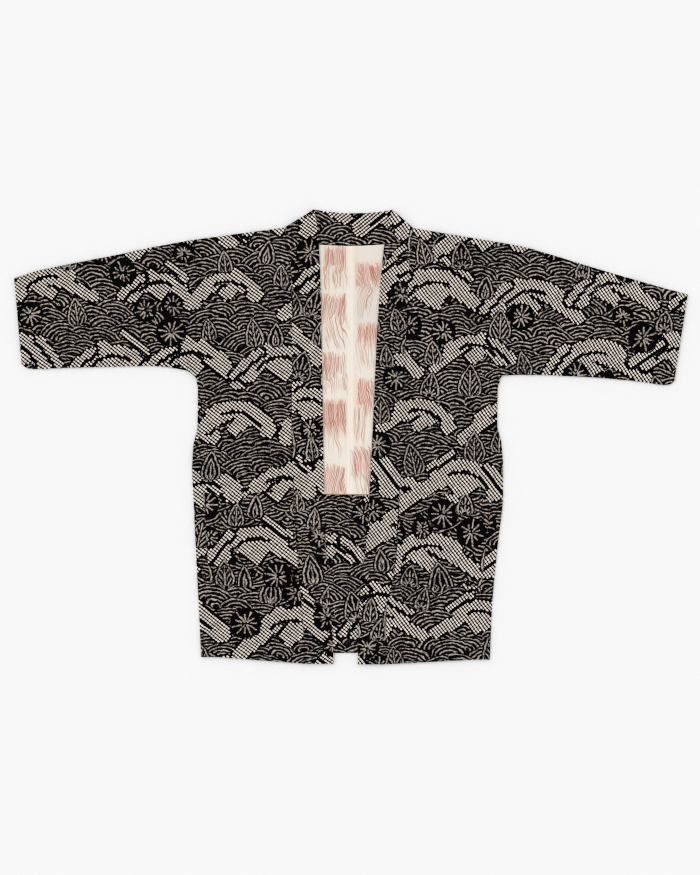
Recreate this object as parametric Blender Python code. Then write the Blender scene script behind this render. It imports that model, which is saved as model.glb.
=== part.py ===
"""A haori, the short jacket worn over a kimono, laid flat and open on a table.

Frame: metres, +X to the right along the sleeves, +Y toward the collar, +Z up off the table.
The origin is at the bottom centre of the whole jacket, so its back lies on Z = 0.
Left and right are as seen from above, looking down at the open front.

Each half of the body is one strip of cloth, as a kimono maker cuts it: it starts as the facing
turned up inside the back hem, runs up the back, folds over the shoulder and comes down the front.
Sleeves are flattened tubes, a gusset folds round each side, and one doubled collar band runs up
one front, round the neck and down the other. Every cloth is a middle surface given its thickness.
"""

from collections import namedtuple
from math import pi

import bpy
import numpy as np

MM = 0.001

# Cloth, in millimetres
CLOTH = 1.4
LINING = 1.0
COLLAR = 2.6  # the band is doubled
GAP = 0.3  # between two pieces that are sewn together
TURN_GAP = 0.5  # inside the turned-up hem
LIFT = 2.2  # between the back cloth and the front cloth
RIDGE_LIMIT = 1.5  # the highest soft fold of the front, so that the layers stay close
COLLAR_PUFF = 1.5  # how far the stiff collar stands up where it turns over the shoulder
COLLAR_PUFF_REACH = 45.0
POCKET_INSET = 2.0
LINING_INSET = 5.0
NECK_INSET = 1.5
FOLD_ROOM = 6.0  # from the shoulder's folded edge to the first flat row
NECK_TILT = 23.0  # the armhole's share of the rows that follow the neck

# Heights of the middle surfaces above the table
BACK_Z = CLOTH / 2
FACING_Z = CLOTH + TURN_GAP + CLOTH / 2
LINING_Z = CLOTH + GAP + LINING / 2
FRONT_Z = CLOTH + LIFT + CLOTH / 2
COLLAR_FRONT_Z = CLOTH + LIFT + COLLAR / 2
COLLAR_BACK_Z = COLLAR / 2
POCKET_RISE = CLOTH + GAP

# Heights along the body, on Y
FACING_TOP_Y = -110.0
GUSSET_TOP_Y = 106.0

# How finely each sheet is divided
STEP = 24.0  # longest step along a panel
PANEL_CELLS = 6
COLLAR_CELLS = 4
COLLAR_STEP = 22.0
SLEEVE_CELLS = 6
SLEEVE_STEP = 28.0
FOLD_CELLS = 4
GUSSET_CELLS = 2
NECK_CELLS = 8

Edge = namedtuple("Edge", "y x")
Cut = namedtuple("Cut", "top_x top_y low_x low_y")
Band = namedtuple("Band", "seam_y free_x free_y")
Neck = namedtuple("Neck", "seam_x seam_y free_x free_y")
Ridge = namedtuple("Ridge", "x y reach half_width turn height")
Half = namedtuple(
    "Half", "name way side fold seam neck band sleeve hem_side hem_seam back_hem pocket"
)

LEFT = Half(
    name="left",
    way=-1,
    side=[  # where the front and back cloths end, down the armhole and the side
        Edge(373, -312),
        Edge(126, -311),
        Edge(122, -305),
        Edge(116, -298),
        Edge(106, -291),
        Edge(93, -288),
        Edge(19, -289),
        Edge(-19, -287),
        Edge(-107, -281),
        Edge(-234, -274),
        Edge(-329, -265),
        Edge(-418, -257),
    ],
    fold=[  # the outer fold of the gusset
        Edge(106, -294),
        Edge(93, -291),
        Edge(19, -292),
        Edge(-19, -300),
        Edge(-63, -302),
        Edge(-107, -300),
        Edge(-234, -294),
        Edge(-329, -289),
        Edge(-418, -285),
    ],
    seam=[  # where the front is sewn to the collar
        Edge(398, -126),
        Edge(359, -120),
        Edge(308, -114),
        Edge(203, -112),
        Edge(9, -113),
        Edge(-107, -108),
        Edge(-234, -100),
        Edge(-333, -93),
        Edge(-431, -86),
    ],
    neck=[  # from the shoulder to the middle of the back, with the collar's upper edge beside it
        Neck(-126, 398, -71, 432),
        Neck(-114, 386, -63, 431),
        Neck(-97, 375, -50, 429),
        Neck(-61, 367, -30, 427),
        Neck(-30, 365, -14, 425.5),
        Neck(-2, 364, -2, 425),
    ],
    band=[  # the collar's free edge, from the hem up to the shoulder
        Band(-431, -33, -431),
        Band(-367, -36, -367),
        Band(-276, -43, -276),
        Band(-190, -49, -190),
        Band(-107, -51, -107),
        Band(78, -54, 78),
        Band(184, -56, 184),
        Band(291, -58, 291),
        Band(334, -60, 342),
        Band(364, -62, 380),
        Band(383, -66, 411),
        Band(398, -71, 432),
    ],
    sleeve=[  # from the armhole to the cuff
        Cut(-312, 373, -311, 126),
        Cut(-353, 365, -352, 133),
        Cut(-386, 359, -386, 135),
        Cut(-431, 349, -431, 134),
        Cut(-477, 340, -477, 133),
        Cut(-553, 325, -553, 131),
        Cut(-602, 314, -598, 129),
        Cut(-626, 306, -616, 131),
        Cut(-640, 302, -626, 139),
    ],
    hem_side=-418,
    hem_seam=-431,
    back_hem=(-414, -410),
    pocket=(-107, -281),
)

RIGHT = Half(
    name="right",
    way=1,
    side=[
        Edge(369, 287),
        Edge(120, 288),
        Edge(115, 286),
        Edge(106, 280),
        Edge(93, 276),
        Edge(23, 274),
        Edge(-63, 273),
        Edge(-107, 270),
        Edge(-205, 258),
        Edge(-329, 245),
        Edge(-418, 236),
    ],
    fold=[
        Edge(106, 283),
        Edge(93, 279),
        Edge(23, 278),
        Edge(-12, 286),
        Edge(-63, 289),
        Edge(-107, 289),
        Edge(-205, 279),
        Edge(-323, 268),
        Edge(-418, 264),
    ],
    seam=[
        Edge(397, 118),
        Edge(359, 114),
        Edge(317, 110),
        Edge(203, 105),
        Edge(89, 101),
        Edge(-65, 95),
        Edge(-177, 87),
        Edge(-234, 84),
        Edge(-281, 77),
        Edge(-321, 69),
        Edge(-376, 66),
        Edge(-432, 66),
    ],
    neck=[
        Neck(118, 397, 79, 432),
        Neck(106, 385, 70, 430.5),
        Neck(89, 375, 56, 428),
        Neck(57, 367, 33, 426),
        Neck(28, 365, 14, 425.3),
        Neck(-2, 364, -2, 425),
    ],
    band=[
        Band(-432, 13, -432),
        Band(-376, 14, -376),
        Band(-310, 17, -310),
        Band(-262, 21, -262),
        Band(-203, 29, -203),
        Band(-107, 35, -107),
        Band(51, 43, 51),
        Band(184, 49, 184),
        Band(291, 56, 291),
        Band(340, 61, 346),
        Band(370, 67, 389),
        Band(385, 73, 415),
        Band(397, 79, 432),
    ],
    sleeve=[
        Cut(287, 369, 288, 117),
        Cut(325, 362, 329, 118),
        Cut(359, 353, 363, 118),
        Cut(405, 339, 405, 116),
        Cut(450, 325, 450, 114),
        Cut(542, 298, 542, 106),
        Cut(602, 281, 595, 99),
        Cut(626, 275, 606, 100),
        Cut(640, 271, 614, 106),
    ],
    hem_side=-423,
    hem_seam=-432,
    back_hem=(-416, -410),
    pocket=(-112, -283),
)

RIDGES = [  # the largest soft folds of the front
    Ridge(x=-400, y=152, reach=80, half_width=13, turn=2, height=1.3),
    Ridge(x=-420, y=285, reach=130, half_width=20, turn=14, height=0.8),
    Ridge(x=-285, y=185, reach=70, half_width=16, turn=62, height=1.0),
    Ridge(x=-262, y=-25, reach=80, half_width=14, turn=98, height=1.2),
    Ridge(x=-215, y=-350, reach=70, half_width=18, turn=80, height=0.9),
    Ridge(x=-150, y=120, reach=130, half_width=20, turn=84, height=0.7),
    Ridge(x=390, y=140, reach=80, half_width=14, turn=-3, height=1.1),
    Ridge(x=430, y=262, reach=130, half_width=20, turn=-17, height=0.8),
    Ridge(x=265, y=180, reach=70, half_width=16, turn=-60, height=1.0),
    Ridge(x=250, y=-30, reach=80, half_width=14, turn=84, height=1.2),
    Ridge(x=150, y=90, reach=130, half_width=20, turn=96, height=0.7),
    Ridge(x=120, y=-350, reach=60, half_width=18, turn=104, height=0.9),
]


def column(table, name):
    return np.array([getattr(row, name) for row in table], float)


def smooth(at, stations, values):
    """Reads a smooth curve through (stations, values) at the places in at, without overshoot."""
    order = np.argsort(stations)
    x = np.asarray(stations, float)[order]
    v = np.asarray(values, float)[order]
    slope = np.diff(v) / np.diff(x)
    before, after = slope[:-1], slope[1:]
    same_way = before * after > 0
    both = np.where(same_way, before + after, 1.0)
    tangent = np.concatenate([slope[:1], np.where(same_way, 2 * before * after / both, 0.0), slope[-1:]])
    at = np.clip(at, x[0], x[-1])
    i = np.clip(np.searchsorted(x, at) - 1, 0, len(x) - 2)
    width = x[i + 1] - x[i]
    t = (at - x[i]) / width
    start = (1 + 2 * t) * (1 - t) ** 2 * v[i] + t**2 * (3 - 2 * t) * v[i + 1]
    return start + width * t * (1 - t) * ((1 - t) * tangent[i] - t * tangent[i + 1])


def edge_x(table, y):
    return smooth(y, column(table, "y"), column(table, "x"))


def marks(places, step):
    """Steps from the first place to the last that stop at each place and are no longer than step."""
    found = [places[:1]]
    for start, end in zip(places[:-1], places[1:]):
        count = max(1, int(np.ceil(abs(end - start) / step)))
        found.append(np.linspace(start, end, count + 1)[1:])
    return np.concatenate(found)


def ridge_height(x, y):
    """How far the soft folds lift the front at x, y: a bell across each fold and along it."""
    total = np.zeros(np.broadcast(x, y).shape)
    for ridge in RIDGES:
        angle = np.radians(ridge.turn)
        along = (x - ridge.x) * np.cos(angle) + (y - ridge.y) * np.sin(angle)
        across = (y - ridge.y) * np.cos(angle) - (x - ridge.x) * np.sin(angle)
        total += ridge.height * np.exp(-((along / ridge.reach) ** 2) - (across / ridge.half_width) ** 2)
    return RIDGE_LIMIT * np.tanh(total / RIDGE_LIMIT)


def ruled(first, last, cells):
    """Rows of points, each a straight row of cells from a point of first to one of last."""
    share = np.linspace(0, 1, cells + 1)[None, :, None]
    return first[:, None, :] * (1 - share) + last[:, None, :] * share


def with_height(plan, height):
    """Adds Z to rows of points on the plan."""
    return np.dstack([plan, np.broadcast_to(height, plan.shape[:2])])


def half_turn(line, inward, upper, lower, wall=CLOTH, from_top=True):
    """The rows that take a cloth of a wall's thickness round a folded edge.

    line is a row of points on the outermost edge, inward the plan direction into the cloth, and
    upper and lower the heights that the fold joins. The first and last rows are left to the cloth.
    """
    angles = np.linspace(pi / 2, -pi / 2, FOLD_CELLS + 1)[1:-1]
    angles = angles if from_top else -angles
    radius, middle = (upper - lower) / 2, (upper + lower) / 2
    rows = []
    for angle in angles:
        depth = radius * (1 - np.cos(angle)) + wall / 2
        plan = line + depth[:, None] * inward
        rows.append(np.column_stack([plan, middle + radius * np.sin(angle)]))
    return np.array(rows)


def side_rows(half):
    """Heights of the rows below the armhole, which front, back and gusset share at the side."""
    places = [126, 122, 116, GUSSET_TOP_Y, 93, 19, *half.pocket, half.hem_side]
    return marks(np.array(places, float), STEP)


def front_rows(half):
    """The front cloth's middle surface, from the shoulder to the hem, side edge to collar seam."""
    top_side, top_seam = half.side[0], half.seam[0]
    side_y = side_rows(half)
    side_y = np.concatenate([marks(np.array([top_side.y - FOLD_ROOM, side_y[0]]), STEP), side_y[1:]])
    share = (top_side.y - side_y) / (top_side.y - half.hem_side)
    seam_y = top_seam.y + share * (half.hem_seam - top_seam.y)
    side = np.column_stack([edge_x(half.side, side_y), side_y])
    seam = np.column_stack([edge_x(half.seam, seam_y), seam_y])
    plan = ruled(side, seam, PANEL_CELLS)
    rows_3d = with_height(plan, FRONT_Z + ridge_height(plan[..., 0], plan[..., 1]))
    return rows_3d, side_y


def neck_points(half, prefix):
    """The neck seam, or the collar's upper edge beside it, from the shoulder to the middle."""
    stations = np.linspace(0, 1, len(half.neck))
    at = np.linspace(0, 1, NECK_CELLS + 1)
    x = smooth(at, stations, column(half.neck, prefix + "_x"))
    y = smooth(at, stations, column(half.neck, prefix + "_y"))
    return np.column_stack([x, y])


def back_rows(half):
    """The back cloth's plan, from the shoulder to the hem, side edge to neck and centre seam."""
    neck = neck_points(half, "seam")
    neck[-1, 0] += half.way * GAP / 2
    side_hem, centre_hem = half.back_hem
    top = half.side[0].y
    neck_side = np.concatenate([[top], np.linspace(top - FOLD_ROOM, top - NECK_TILT, len(neck) - 1)])
    lower = side_rows(half)
    upper = marks(np.array([neck_side[-1], lower[0]]), STEP)[1:-1]
    lower[-1] = side_hem + TURN_GAP + CLOTH
    side_y = np.concatenate([upper, lower])
    known_side = [lower[-1], half.pocket[0], lower[0], neck_side[-1]]
    known_centre = [centre_hem + TURN_GAP + CLOTH, FACING_TOP_Y, lower[0], neck[-1, 1]]
    centre_y = np.interp(side_y, known_side, known_centre)
    centre = np.column_stack([np.full(len(centre_y), neck[-1, 0]), centre_y])
    side_y = np.concatenate([neck_side, side_y])
    side = np.column_stack([edge_x(half.side, side_y), side_y])
    return ruled(side, np.vstack([neck, centre]), PANEL_CELLS)


def body_panel(half):
    """Facing, back, shoulder fold and front as one strip of rows."""
    back = back_rows(half)
    front, _ = front_rows(half)
    facing = back[back[:, -1, 1] <= FACING_TOP_Y + 0.01]
    down = np.array([0.0, -1.0])
    hem_line = facing[-1] + down * (TURN_GAP / 2 + CLOTH + CLOTH / 2)
    one = np.ones(PANEL_CELLS + 1)
    hem = half_turn(hem_line, -down, FACING_Z * one, BACK_Z * one)
    shoulder_line = back[0]
    over = ridge_height(shoulder_line[:, 0], shoulder_line[:, 1])
    shoulder = half_turn(shoulder_line, down, FRONT_Z + over, BACK_Z * one, from_top=False)
    return np.concatenate(
        [with_height(facing, FACING_Z), hem, with_height(back[:0:-1], BACK_Z), shoulder, front]
    )


def lining_panel(half):
    """The silk on the inside of the back, made from the back's points moved in and up."""
    back = back_rows(half)[2:]
    plan = back[back[:, -1, 1] >= FACING_TOP_Y - 0.01]
    plan[:, 0, 0] -= half.way * LINING_INSET
    drop = np.linspace(1, 0, len(plan))[:, None]
    plan[..., 1] -= NECK_INSET * drop
    plan[-1, :, 1] += GAP
    return with_height(plan, LINING_Z)


def pocket_patch(half):
    """A patch pocket made from the front's own points, moved out."""
    rows, side_y = front_rows(half)
    top, bottom = half.pocket
    patch = rows[(side_y <= top + 0.01) & (side_y >= bottom - 0.01)].copy()
    patch[:, 0, 0] -= half.way * POCKET_INSET
    patch[:, -1, 0] += half.way * POCKET_INSET
    patch[..., 2] += POCKET_RISE
    return patch


def gusset_strip(half):
    """The folded strip between the front's and the back's side edges."""
    y = side_rows(half)
    y = y[y <= GUSSET_TOP_Y]
    sewn = edge_x(half.side, y) + half.way * GAP
    outer = edge_x(half.fold, y) - half.way * CLOTH / 2
    over = ridge_height(outer, y)
    radius = (FRONT_Z + over - BACK_Z) / 2
    depth = np.minimum(radius, 0.8 * np.abs(outer - sewn))
    turn = outer - half.way * depth
    rows = []
    for share in np.linspace(0, 1, GUSSET_CELLS + 1):
        rows.append([sewn + share * (turn - sewn), y, FRONT_Z + over])
    for angle in np.linspace(pi / 2, -pi / 2, FOLD_CELLS + 1)[1:-1]:
        height = BACK_Z + radius + radius * np.sin(angle)
        rows.append([turn + half.way * depth * np.cos(angle), y, height])
    for share in np.linspace(1, 0, GUSSET_CELLS + 1):
        rows.append([sewn + share * (turn - sewn), y, np.full(len(y), BACK_Z)])
    return np.array(rows).transpose(2, 0, 1)


def sleeve_tube(half):
    """A flattened tube: each section goes along the top cloth, round the lower fold and back."""
    cuts = half.sleeve
    run = np.abs(column(cuts, "top_x") - cuts[0].top_x)
    at = marks(run[[0, 1, 6, 7, 8]], SLEEVE_STEP)
    top = np.column_stack([smooth(at, run, column(cuts, "top_" + axis)) for axis in "xy"])
    low = np.column_stack([smooth(at, run, column(cuts, "low_" + axis)) for axis in "xy"])
    top[0, 0] += half.way * GAP
    low[0, 0] += half.way * GAP
    down = (low - top) / np.linalg.norm(low - top, axis=1)[:, None]
    upper_at = FRONT_Z + ridge_height(top[:, 0], top[:, 1])
    lower_at = FRONT_Z + ridge_height(low[:, 0], low[:, 1])
    back = np.full(len(at), BACK_Z)
    top_in = top + down * ((upper_at - BACK_Z) / 2 + CLOTH / 2)[:, None]
    low_in = low - down * ((lower_at - BACK_Z) / 2 + CLOTH / 2)[:, None]
    plan = ruled(top_in, low_in, SLEEVE_CELLS)
    front = with_height(plan, FRONT_Z + ridge_height(plan[..., 0], plan[..., 1]))
    under = with_height(plan[:, ::-1], BACK_Z)
    low_turn = half_turn(low, -down, lower_at, back).transpose(1, 0, 2)
    top_turn = half_turn(top, down, upper_at, back, from_top=False).transpose(1, 0, 2)
    return np.concatenate([front, low_turn, under, top_turn], axis=1)


def collar_half(half):
    """The band from the hem up one front, over the shoulder and along the neck to the middle."""
    free_y = column(half.band, "free_y")
    at = marks(free_y[[0, 4, -2]], COLLAR_STEP)
    free = np.column_stack([smooth(at, free_y, column(half.band, "free_x")), at])
    seam_y = smooth(at, free_y, column(half.band, "seam_y"))
    seam = np.column_stack([edge_x(half.seam, seam_y) - half.way * GAP, seam_y])
    plan = ruled(seam, free, COLLAR_CELLS)

    neck_seam, neck_free = neck_points(half, "seam"), neck_points(half, "free")
    course = np.gradient(neck_seam, axis=0)
    outward = np.column_stack([course[:, 1], -course[:, 0]]) * half.way
    neck_seam += GAP * outward / np.linalg.norm(outward, axis=1)[:, None]
    neck = ruled(neck_seam, neck_free, COLLAR_CELLS)

    line = neck[0]
    run = line[-1] - line[0]
    inward = np.array([-run[1], run[0]]) / np.linalg.norm(run) * half.way
    from_fold = np.abs((plan - line[0]) @ inward)
    puff = COLLAR_PUFF * np.exp(-((from_fold / COLLAR_PUFF_REACH) ** 2))
    front = with_height(plan, COLLAR_FRONT_Z + puff + ridge_height(plan[..., 0], plan[..., 1]))
    over = COLLAR_FRONT_Z + COLLAR_PUFF + ridge_height(line[:, 0], line[:, 1])
    turn = half_turn(line, inward, over, np.full(len(line), COLLAR_BACK_Z), wall=COLLAR)
    back = with_height(neck[1:], COLLAR_BACK_Z)
    return np.concatenate([front, turn, back])


def collar_band():
    left, right = collar_half(LEFT), collar_half(RIGHT)
    return np.concatenate([left, right[-2::-1]])


def fabric(name, colour, roughness):
    material = bpy.data.materials.new(name)
    material.use_nodes = True
    shader = material.node_tree.nodes["Principled BSDF"]
    shader.inputs["Base Color"].default_value = (*colour, 1)
    shader.inputs["Roughness"].default_value = roughness
    shader.inputs["Metallic"].default_value = 0
    material.diffuse_color = (*colour, 1)
    return material


def add_cloth(name, middle, thickness, material, parent, tube=False):
    """Makes a closed wall of the thickness around rows of middle-surface points."""
    rows, columns = middle.shape[:2]
    index = np.arange(rows * columns).reshape(rows, columns)
    if tube:
        index = np.column_stack([index, index[:, 0]])
    corners = [index[:-1, :-1], index[1:, :-1], index[1:, 1:], index[:-1, 1:]]
    faces = np.stack(corners, axis=-1).reshape(-1, 4)
    mesh = bpy.data.meshes.new(name)
    mesh.from_pydata((middle.reshape(-1, 3) * MM).tolist(), [], faces.tolist())
    mesh.materials.append(material)
    mesh.shade_smooth()
    cloth = bpy.data.objects.new(name, mesh)
    bpy.context.scene.collection.objects.link(cloth)
    wall = cloth.modifiers.new("Wall", "SOLIDIFY")
    wall.thickness = thickness * MM
    wall.offset = 0
    wall.use_even_offset = True
    cloth.parent = parent
    return cloth


def build():
    for old in list(bpy.data.objects):
        bpy.data.objects.remove(old)
    root = bpy.data.objects.new("haori", None)
    bpy.context.scene.collection.objects.link(root)

    outer = fabric("dyed silk crepe", (0.13, 0.115, 0.105), 0.85)
    silk = fabric("lining silk", (0.76, 0.68, 0.58), 0.55)
    for half in (LEFT, RIGHT):
        add_cloth(f"body_{half.name}", body_panel(half), CLOTH, outer, root)
        add_cloth(f"sleeve_{half.name}", sleeve_tube(half), CLOTH, outer, root, tube=True)
        add_cloth(f"gusset_{half.name}", gusset_strip(half), CLOTH, outer, root)
        add_cloth(f"pocket_{half.name}", pocket_patch(half), CLOTH, outer, root)
        add_cloth(f"lining_{half.name}", lining_panel(half), LINING, silk, root)
    add_cloth("collar", collar_band(), COLLAR, outer, root)


build()
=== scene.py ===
# %% [markdown]
# # A haori laid flat
# A haori is the short jacket worn over a kimono. This one is made of silk crepe that was tied and
# dyed in thousands of tiny knots: each knot kept a dash of white in the near-black ground. We load
# the solid model as a fixed frame, then dress each piece of it in a finer cloth with its creases
# and its dyed pattern. Every size below is in millimetres until a mesh or a light is made.

# %% Load the frame
from collections import namedtuple
from math import cos, pi, radians, sin

import bpy
import numpy as np
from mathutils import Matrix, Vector


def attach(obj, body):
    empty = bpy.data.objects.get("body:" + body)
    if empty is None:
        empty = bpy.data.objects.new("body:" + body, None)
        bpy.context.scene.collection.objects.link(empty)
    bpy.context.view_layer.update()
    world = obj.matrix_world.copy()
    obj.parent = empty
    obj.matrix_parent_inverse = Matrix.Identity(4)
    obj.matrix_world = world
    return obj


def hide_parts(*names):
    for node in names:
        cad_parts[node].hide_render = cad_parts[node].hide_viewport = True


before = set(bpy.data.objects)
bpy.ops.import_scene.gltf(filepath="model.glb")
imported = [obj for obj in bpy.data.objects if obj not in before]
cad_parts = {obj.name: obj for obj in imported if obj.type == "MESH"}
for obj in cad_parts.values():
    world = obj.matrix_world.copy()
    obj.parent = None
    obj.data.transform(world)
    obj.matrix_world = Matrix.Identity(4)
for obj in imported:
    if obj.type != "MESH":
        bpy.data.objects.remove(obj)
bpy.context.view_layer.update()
MM = 0.001

# %% [markdown]
# ## The cut
# A kimono maker works from straight strips of cloth, so a few measured edges give the whole cut.
# The tables below hold those edges as they lie on the table: +X runs along the sleeves and +Y
# toward the collar. They are the same numbers that the solid model was built from, and the finer
# cloth is worked out from them again with shorter steps, so that both have one shape.

# %% Thickness and height of each cloth
CLOTH = 1.4
LINING = 1.0
COLLAR = 2.6
GAP = 0.3
TURN_GAP = 0.5
LIFT = 2.2
RIDGE_LIMIT = 1.5
TROUGH_LIMIT = 0.24
COLLAR_PUFF = 1.5
COLLAR_PUFF_REACH = 45.0
POCKET_INSET = 2.0
LINING_INSET = 5.0
NECK_INSET = 1.5
FOLD_ROOM = 6.0
NECK_TILT = 23.0
FACING_TOP_Y = -110.0
GUSSET_TOP_Y = 106.0

BACK_Z = CLOTH / 2
FACING_Z = CLOTH + TURN_GAP + CLOTH / 2
LINING_Z = CLOTH + GAP + LINING / 2
FRONT_Z = CLOTH + LIFT + CLOTH / 2
COLLAR_FRONT_Z = CLOTH + LIFT + COLLAR / 2
COLLAR_BACK_Z = COLLAR / 2
POCKET_RISE = CLOTH + GAP
print("front cloth lies at", FRONT_Z, "mm, the collar at", round(COLLAR_FRONT_Z, 2), "mm")

# %% Edges of the left half
Edge = namedtuple("Edge", "y x")
Cut = namedtuple("Cut", "top_x top_y low_x low_y")
Band = namedtuple("Band", "seam_y free_x free_y")
Neck = namedtuple("Neck", "seam_x seam_y free_x free_y")
Half = namedtuple(
    "Half", "name way side fold seam neck band sleeve hem_side hem_seam back_hem pocket"
)

LEFT = Half(
    name="left",
    way=-1,
    side=[Edge(373, -312), Edge(126, -311), Edge(122, -305), Edge(116, -298), Edge(106, -291),
          Edge(93, -288), Edge(19, -289), Edge(-19, -287), Edge(-107, -281), Edge(-234, -274),
          Edge(-329, -265), Edge(-418, -257)],
    fold=[Edge(106, -294), Edge(93, -291), Edge(19, -292), Edge(-19, -300), Edge(-63, -302),
          Edge(-107, -300), Edge(-234, -294), Edge(-329, -289), Edge(-418, -285)],
    seam=[Edge(398, -126), Edge(359, -120), Edge(308, -114), Edge(203, -112), Edge(9, -113),
          Edge(-107, -108), Edge(-234, -100), Edge(-333, -93), Edge(-431, -86)],
    neck=[Neck(-126, 398, -71, 432), Neck(-114, 386, -63, 431), Neck(-97, 375, -50, 429),
          Neck(-61, 367, -30, 427), Neck(-30, 365, -14, 425.5), Neck(-2, 364, -2, 425)],
    band=[Band(-431, -33, -431), Band(-367, -36, -367), Band(-276, -43, -276),
          Band(-190, -49, -190), Band(-107, -51, -107), Band(78, -54, 78), Band(184, -56, 184),
          Band(291, -58, 291), Band(334, -60, 342), Band(364, -62, 380), Band(383, -66, 411),
          Band(398, -71, 432)],
    sleeve=[Cut(-312, 373, -311, 126), Cut(-353, 365, -352, 133), Cut(-386, 359, -386, 135),
            Cut(-431, 349, -431, 134), Cut(-477, 340, -477, 133), Cut(-553, 325, -553, 131),
            Cut(-602, 314, -598, 129), Cut(-626, 306, -616, 131), Cut(-640, 302, -626, 139)],
    hem_side=-418,
    hem_seam=-431,
    back_hem=(-414, -410),
    pocket=(-107, -281),
)

# %% Edges of the right half
RIGHT = Half(
    name="right",
    way=1,
    side=[Edge(369, 287), Edge(120, 288), Edge(115, 286), Edge(106, 280), Edge(93, 276),
          Edge(23, 274), Edge(-63, 273), Edge(-107, 270), Edge(-205, 258), Edge(-329, 245),
          Edge(-418, 236)],
    fold=[Edge(106, 283), Edge(93, 279), Edge(23, 278), Edge(-12, 286), Edge(-63, 289),
          Edge(-107, 289), Edge(-205, 279), Edge(-323, 268), Edge(-418, 264)],
    seam=[Edge(397, 118), Edge(359, 114), Edge(317, 110), Edge(203, 105), Edge(89, 101),
          Edge(-65, 95), Edge(-177, 87), Edge(-234, 84), Edge(-281, 77), Edge(-321, 69),
          Edge(-376, 66), Edge(-432, 66)],
    neck=[Neck(118, 397, 79, 432), Neck(106, 385, 70, 430.5), Neck(89, 375, 56, 428),
          Neck(57, 367, 33, 426), Neck(28, 365, 14, 425.3), Neck(-2, 364, -2, 425)],
    band=[Band(-432, 13, -432), Band(-376, 14, -376), Band(-310, 17, -310), Band(-262, 21, -262),
          Band(-203, 29, -203), Band(-107, 35, -107), Band(51, 43, 51), Band(184, 49, 184),
          Band(291, 56, 291), Band(340, 61, 346), Band(370, 67, 389), Band(385, 73, 415),
          Band(397, 79, 432)],
    sleeve=[Cut(287, 369, 288, 117), Cut(325, 362, 329, 118), Cut(359, 353, 363, 118),
            Cut(405, 339, 405, 116), Cut(450, 325, 450, 114), Cut(542, 298, 542, 106),
            Cut(602, 281, 595, 99), Cut(626, 275, 606, 100), Cut(640, 271, 614, 106)],
    hem_side=-423,
    hem_seam=-432,
    back_hem=(-416, -410),
    pocket=(-112, -283),
)
print("stations along the edges:", len(LEFT.side) + len(RIGHT.side), "side rows")

# %% [markdown]
# ## Creases
# Pressed silk crepe lies nearly flat, and what relief it has is soft: a swelling where a seam
# holds it back, a long low fold beside an edge, and small puckers everywhere. Each crease is a
# bell across and a bell along, put where a hand would leave it. Folds of the upper cloth may rise
# freely, but its troughs stop short of the layer below. A crease that goes through all the layers
# moves them together, and stays low.

# %% Creases of the upper cloth, and of all the layers
Crease = namedtuple("Crease", "x y reach half_width turn height")

RIDGES = [  # the largest, which the solid model has too
    Crease(-400, 152, 80, 13, 2, 1.3),
    Crease(-420, 285, 130, 20, 14, 0.8),
    Crease(-285, 185, 70, 16, 62, 1.0),
    Crease(-262, -25, 80, 14, 98, 1.2),
    Crease(-215, -350, 70, 18, 80, 0.9),
    Crease(-150, 120, 130, 20, 84, 0.7),
    Crease(390, 140, 80, 14, -3, 1.1),
    Crease(430, 262, 130, 20, -17, 0.8),
    Crease(265, 180, 70, 16, -60, 1.0),
    Crease(250, -30, 80, 14, 84, 1.2),
    Crease(150, 90, 130, 20, 96, 0.7),
    Crease(120, -350, 60, 18, 104, 0.9),
]

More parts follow.
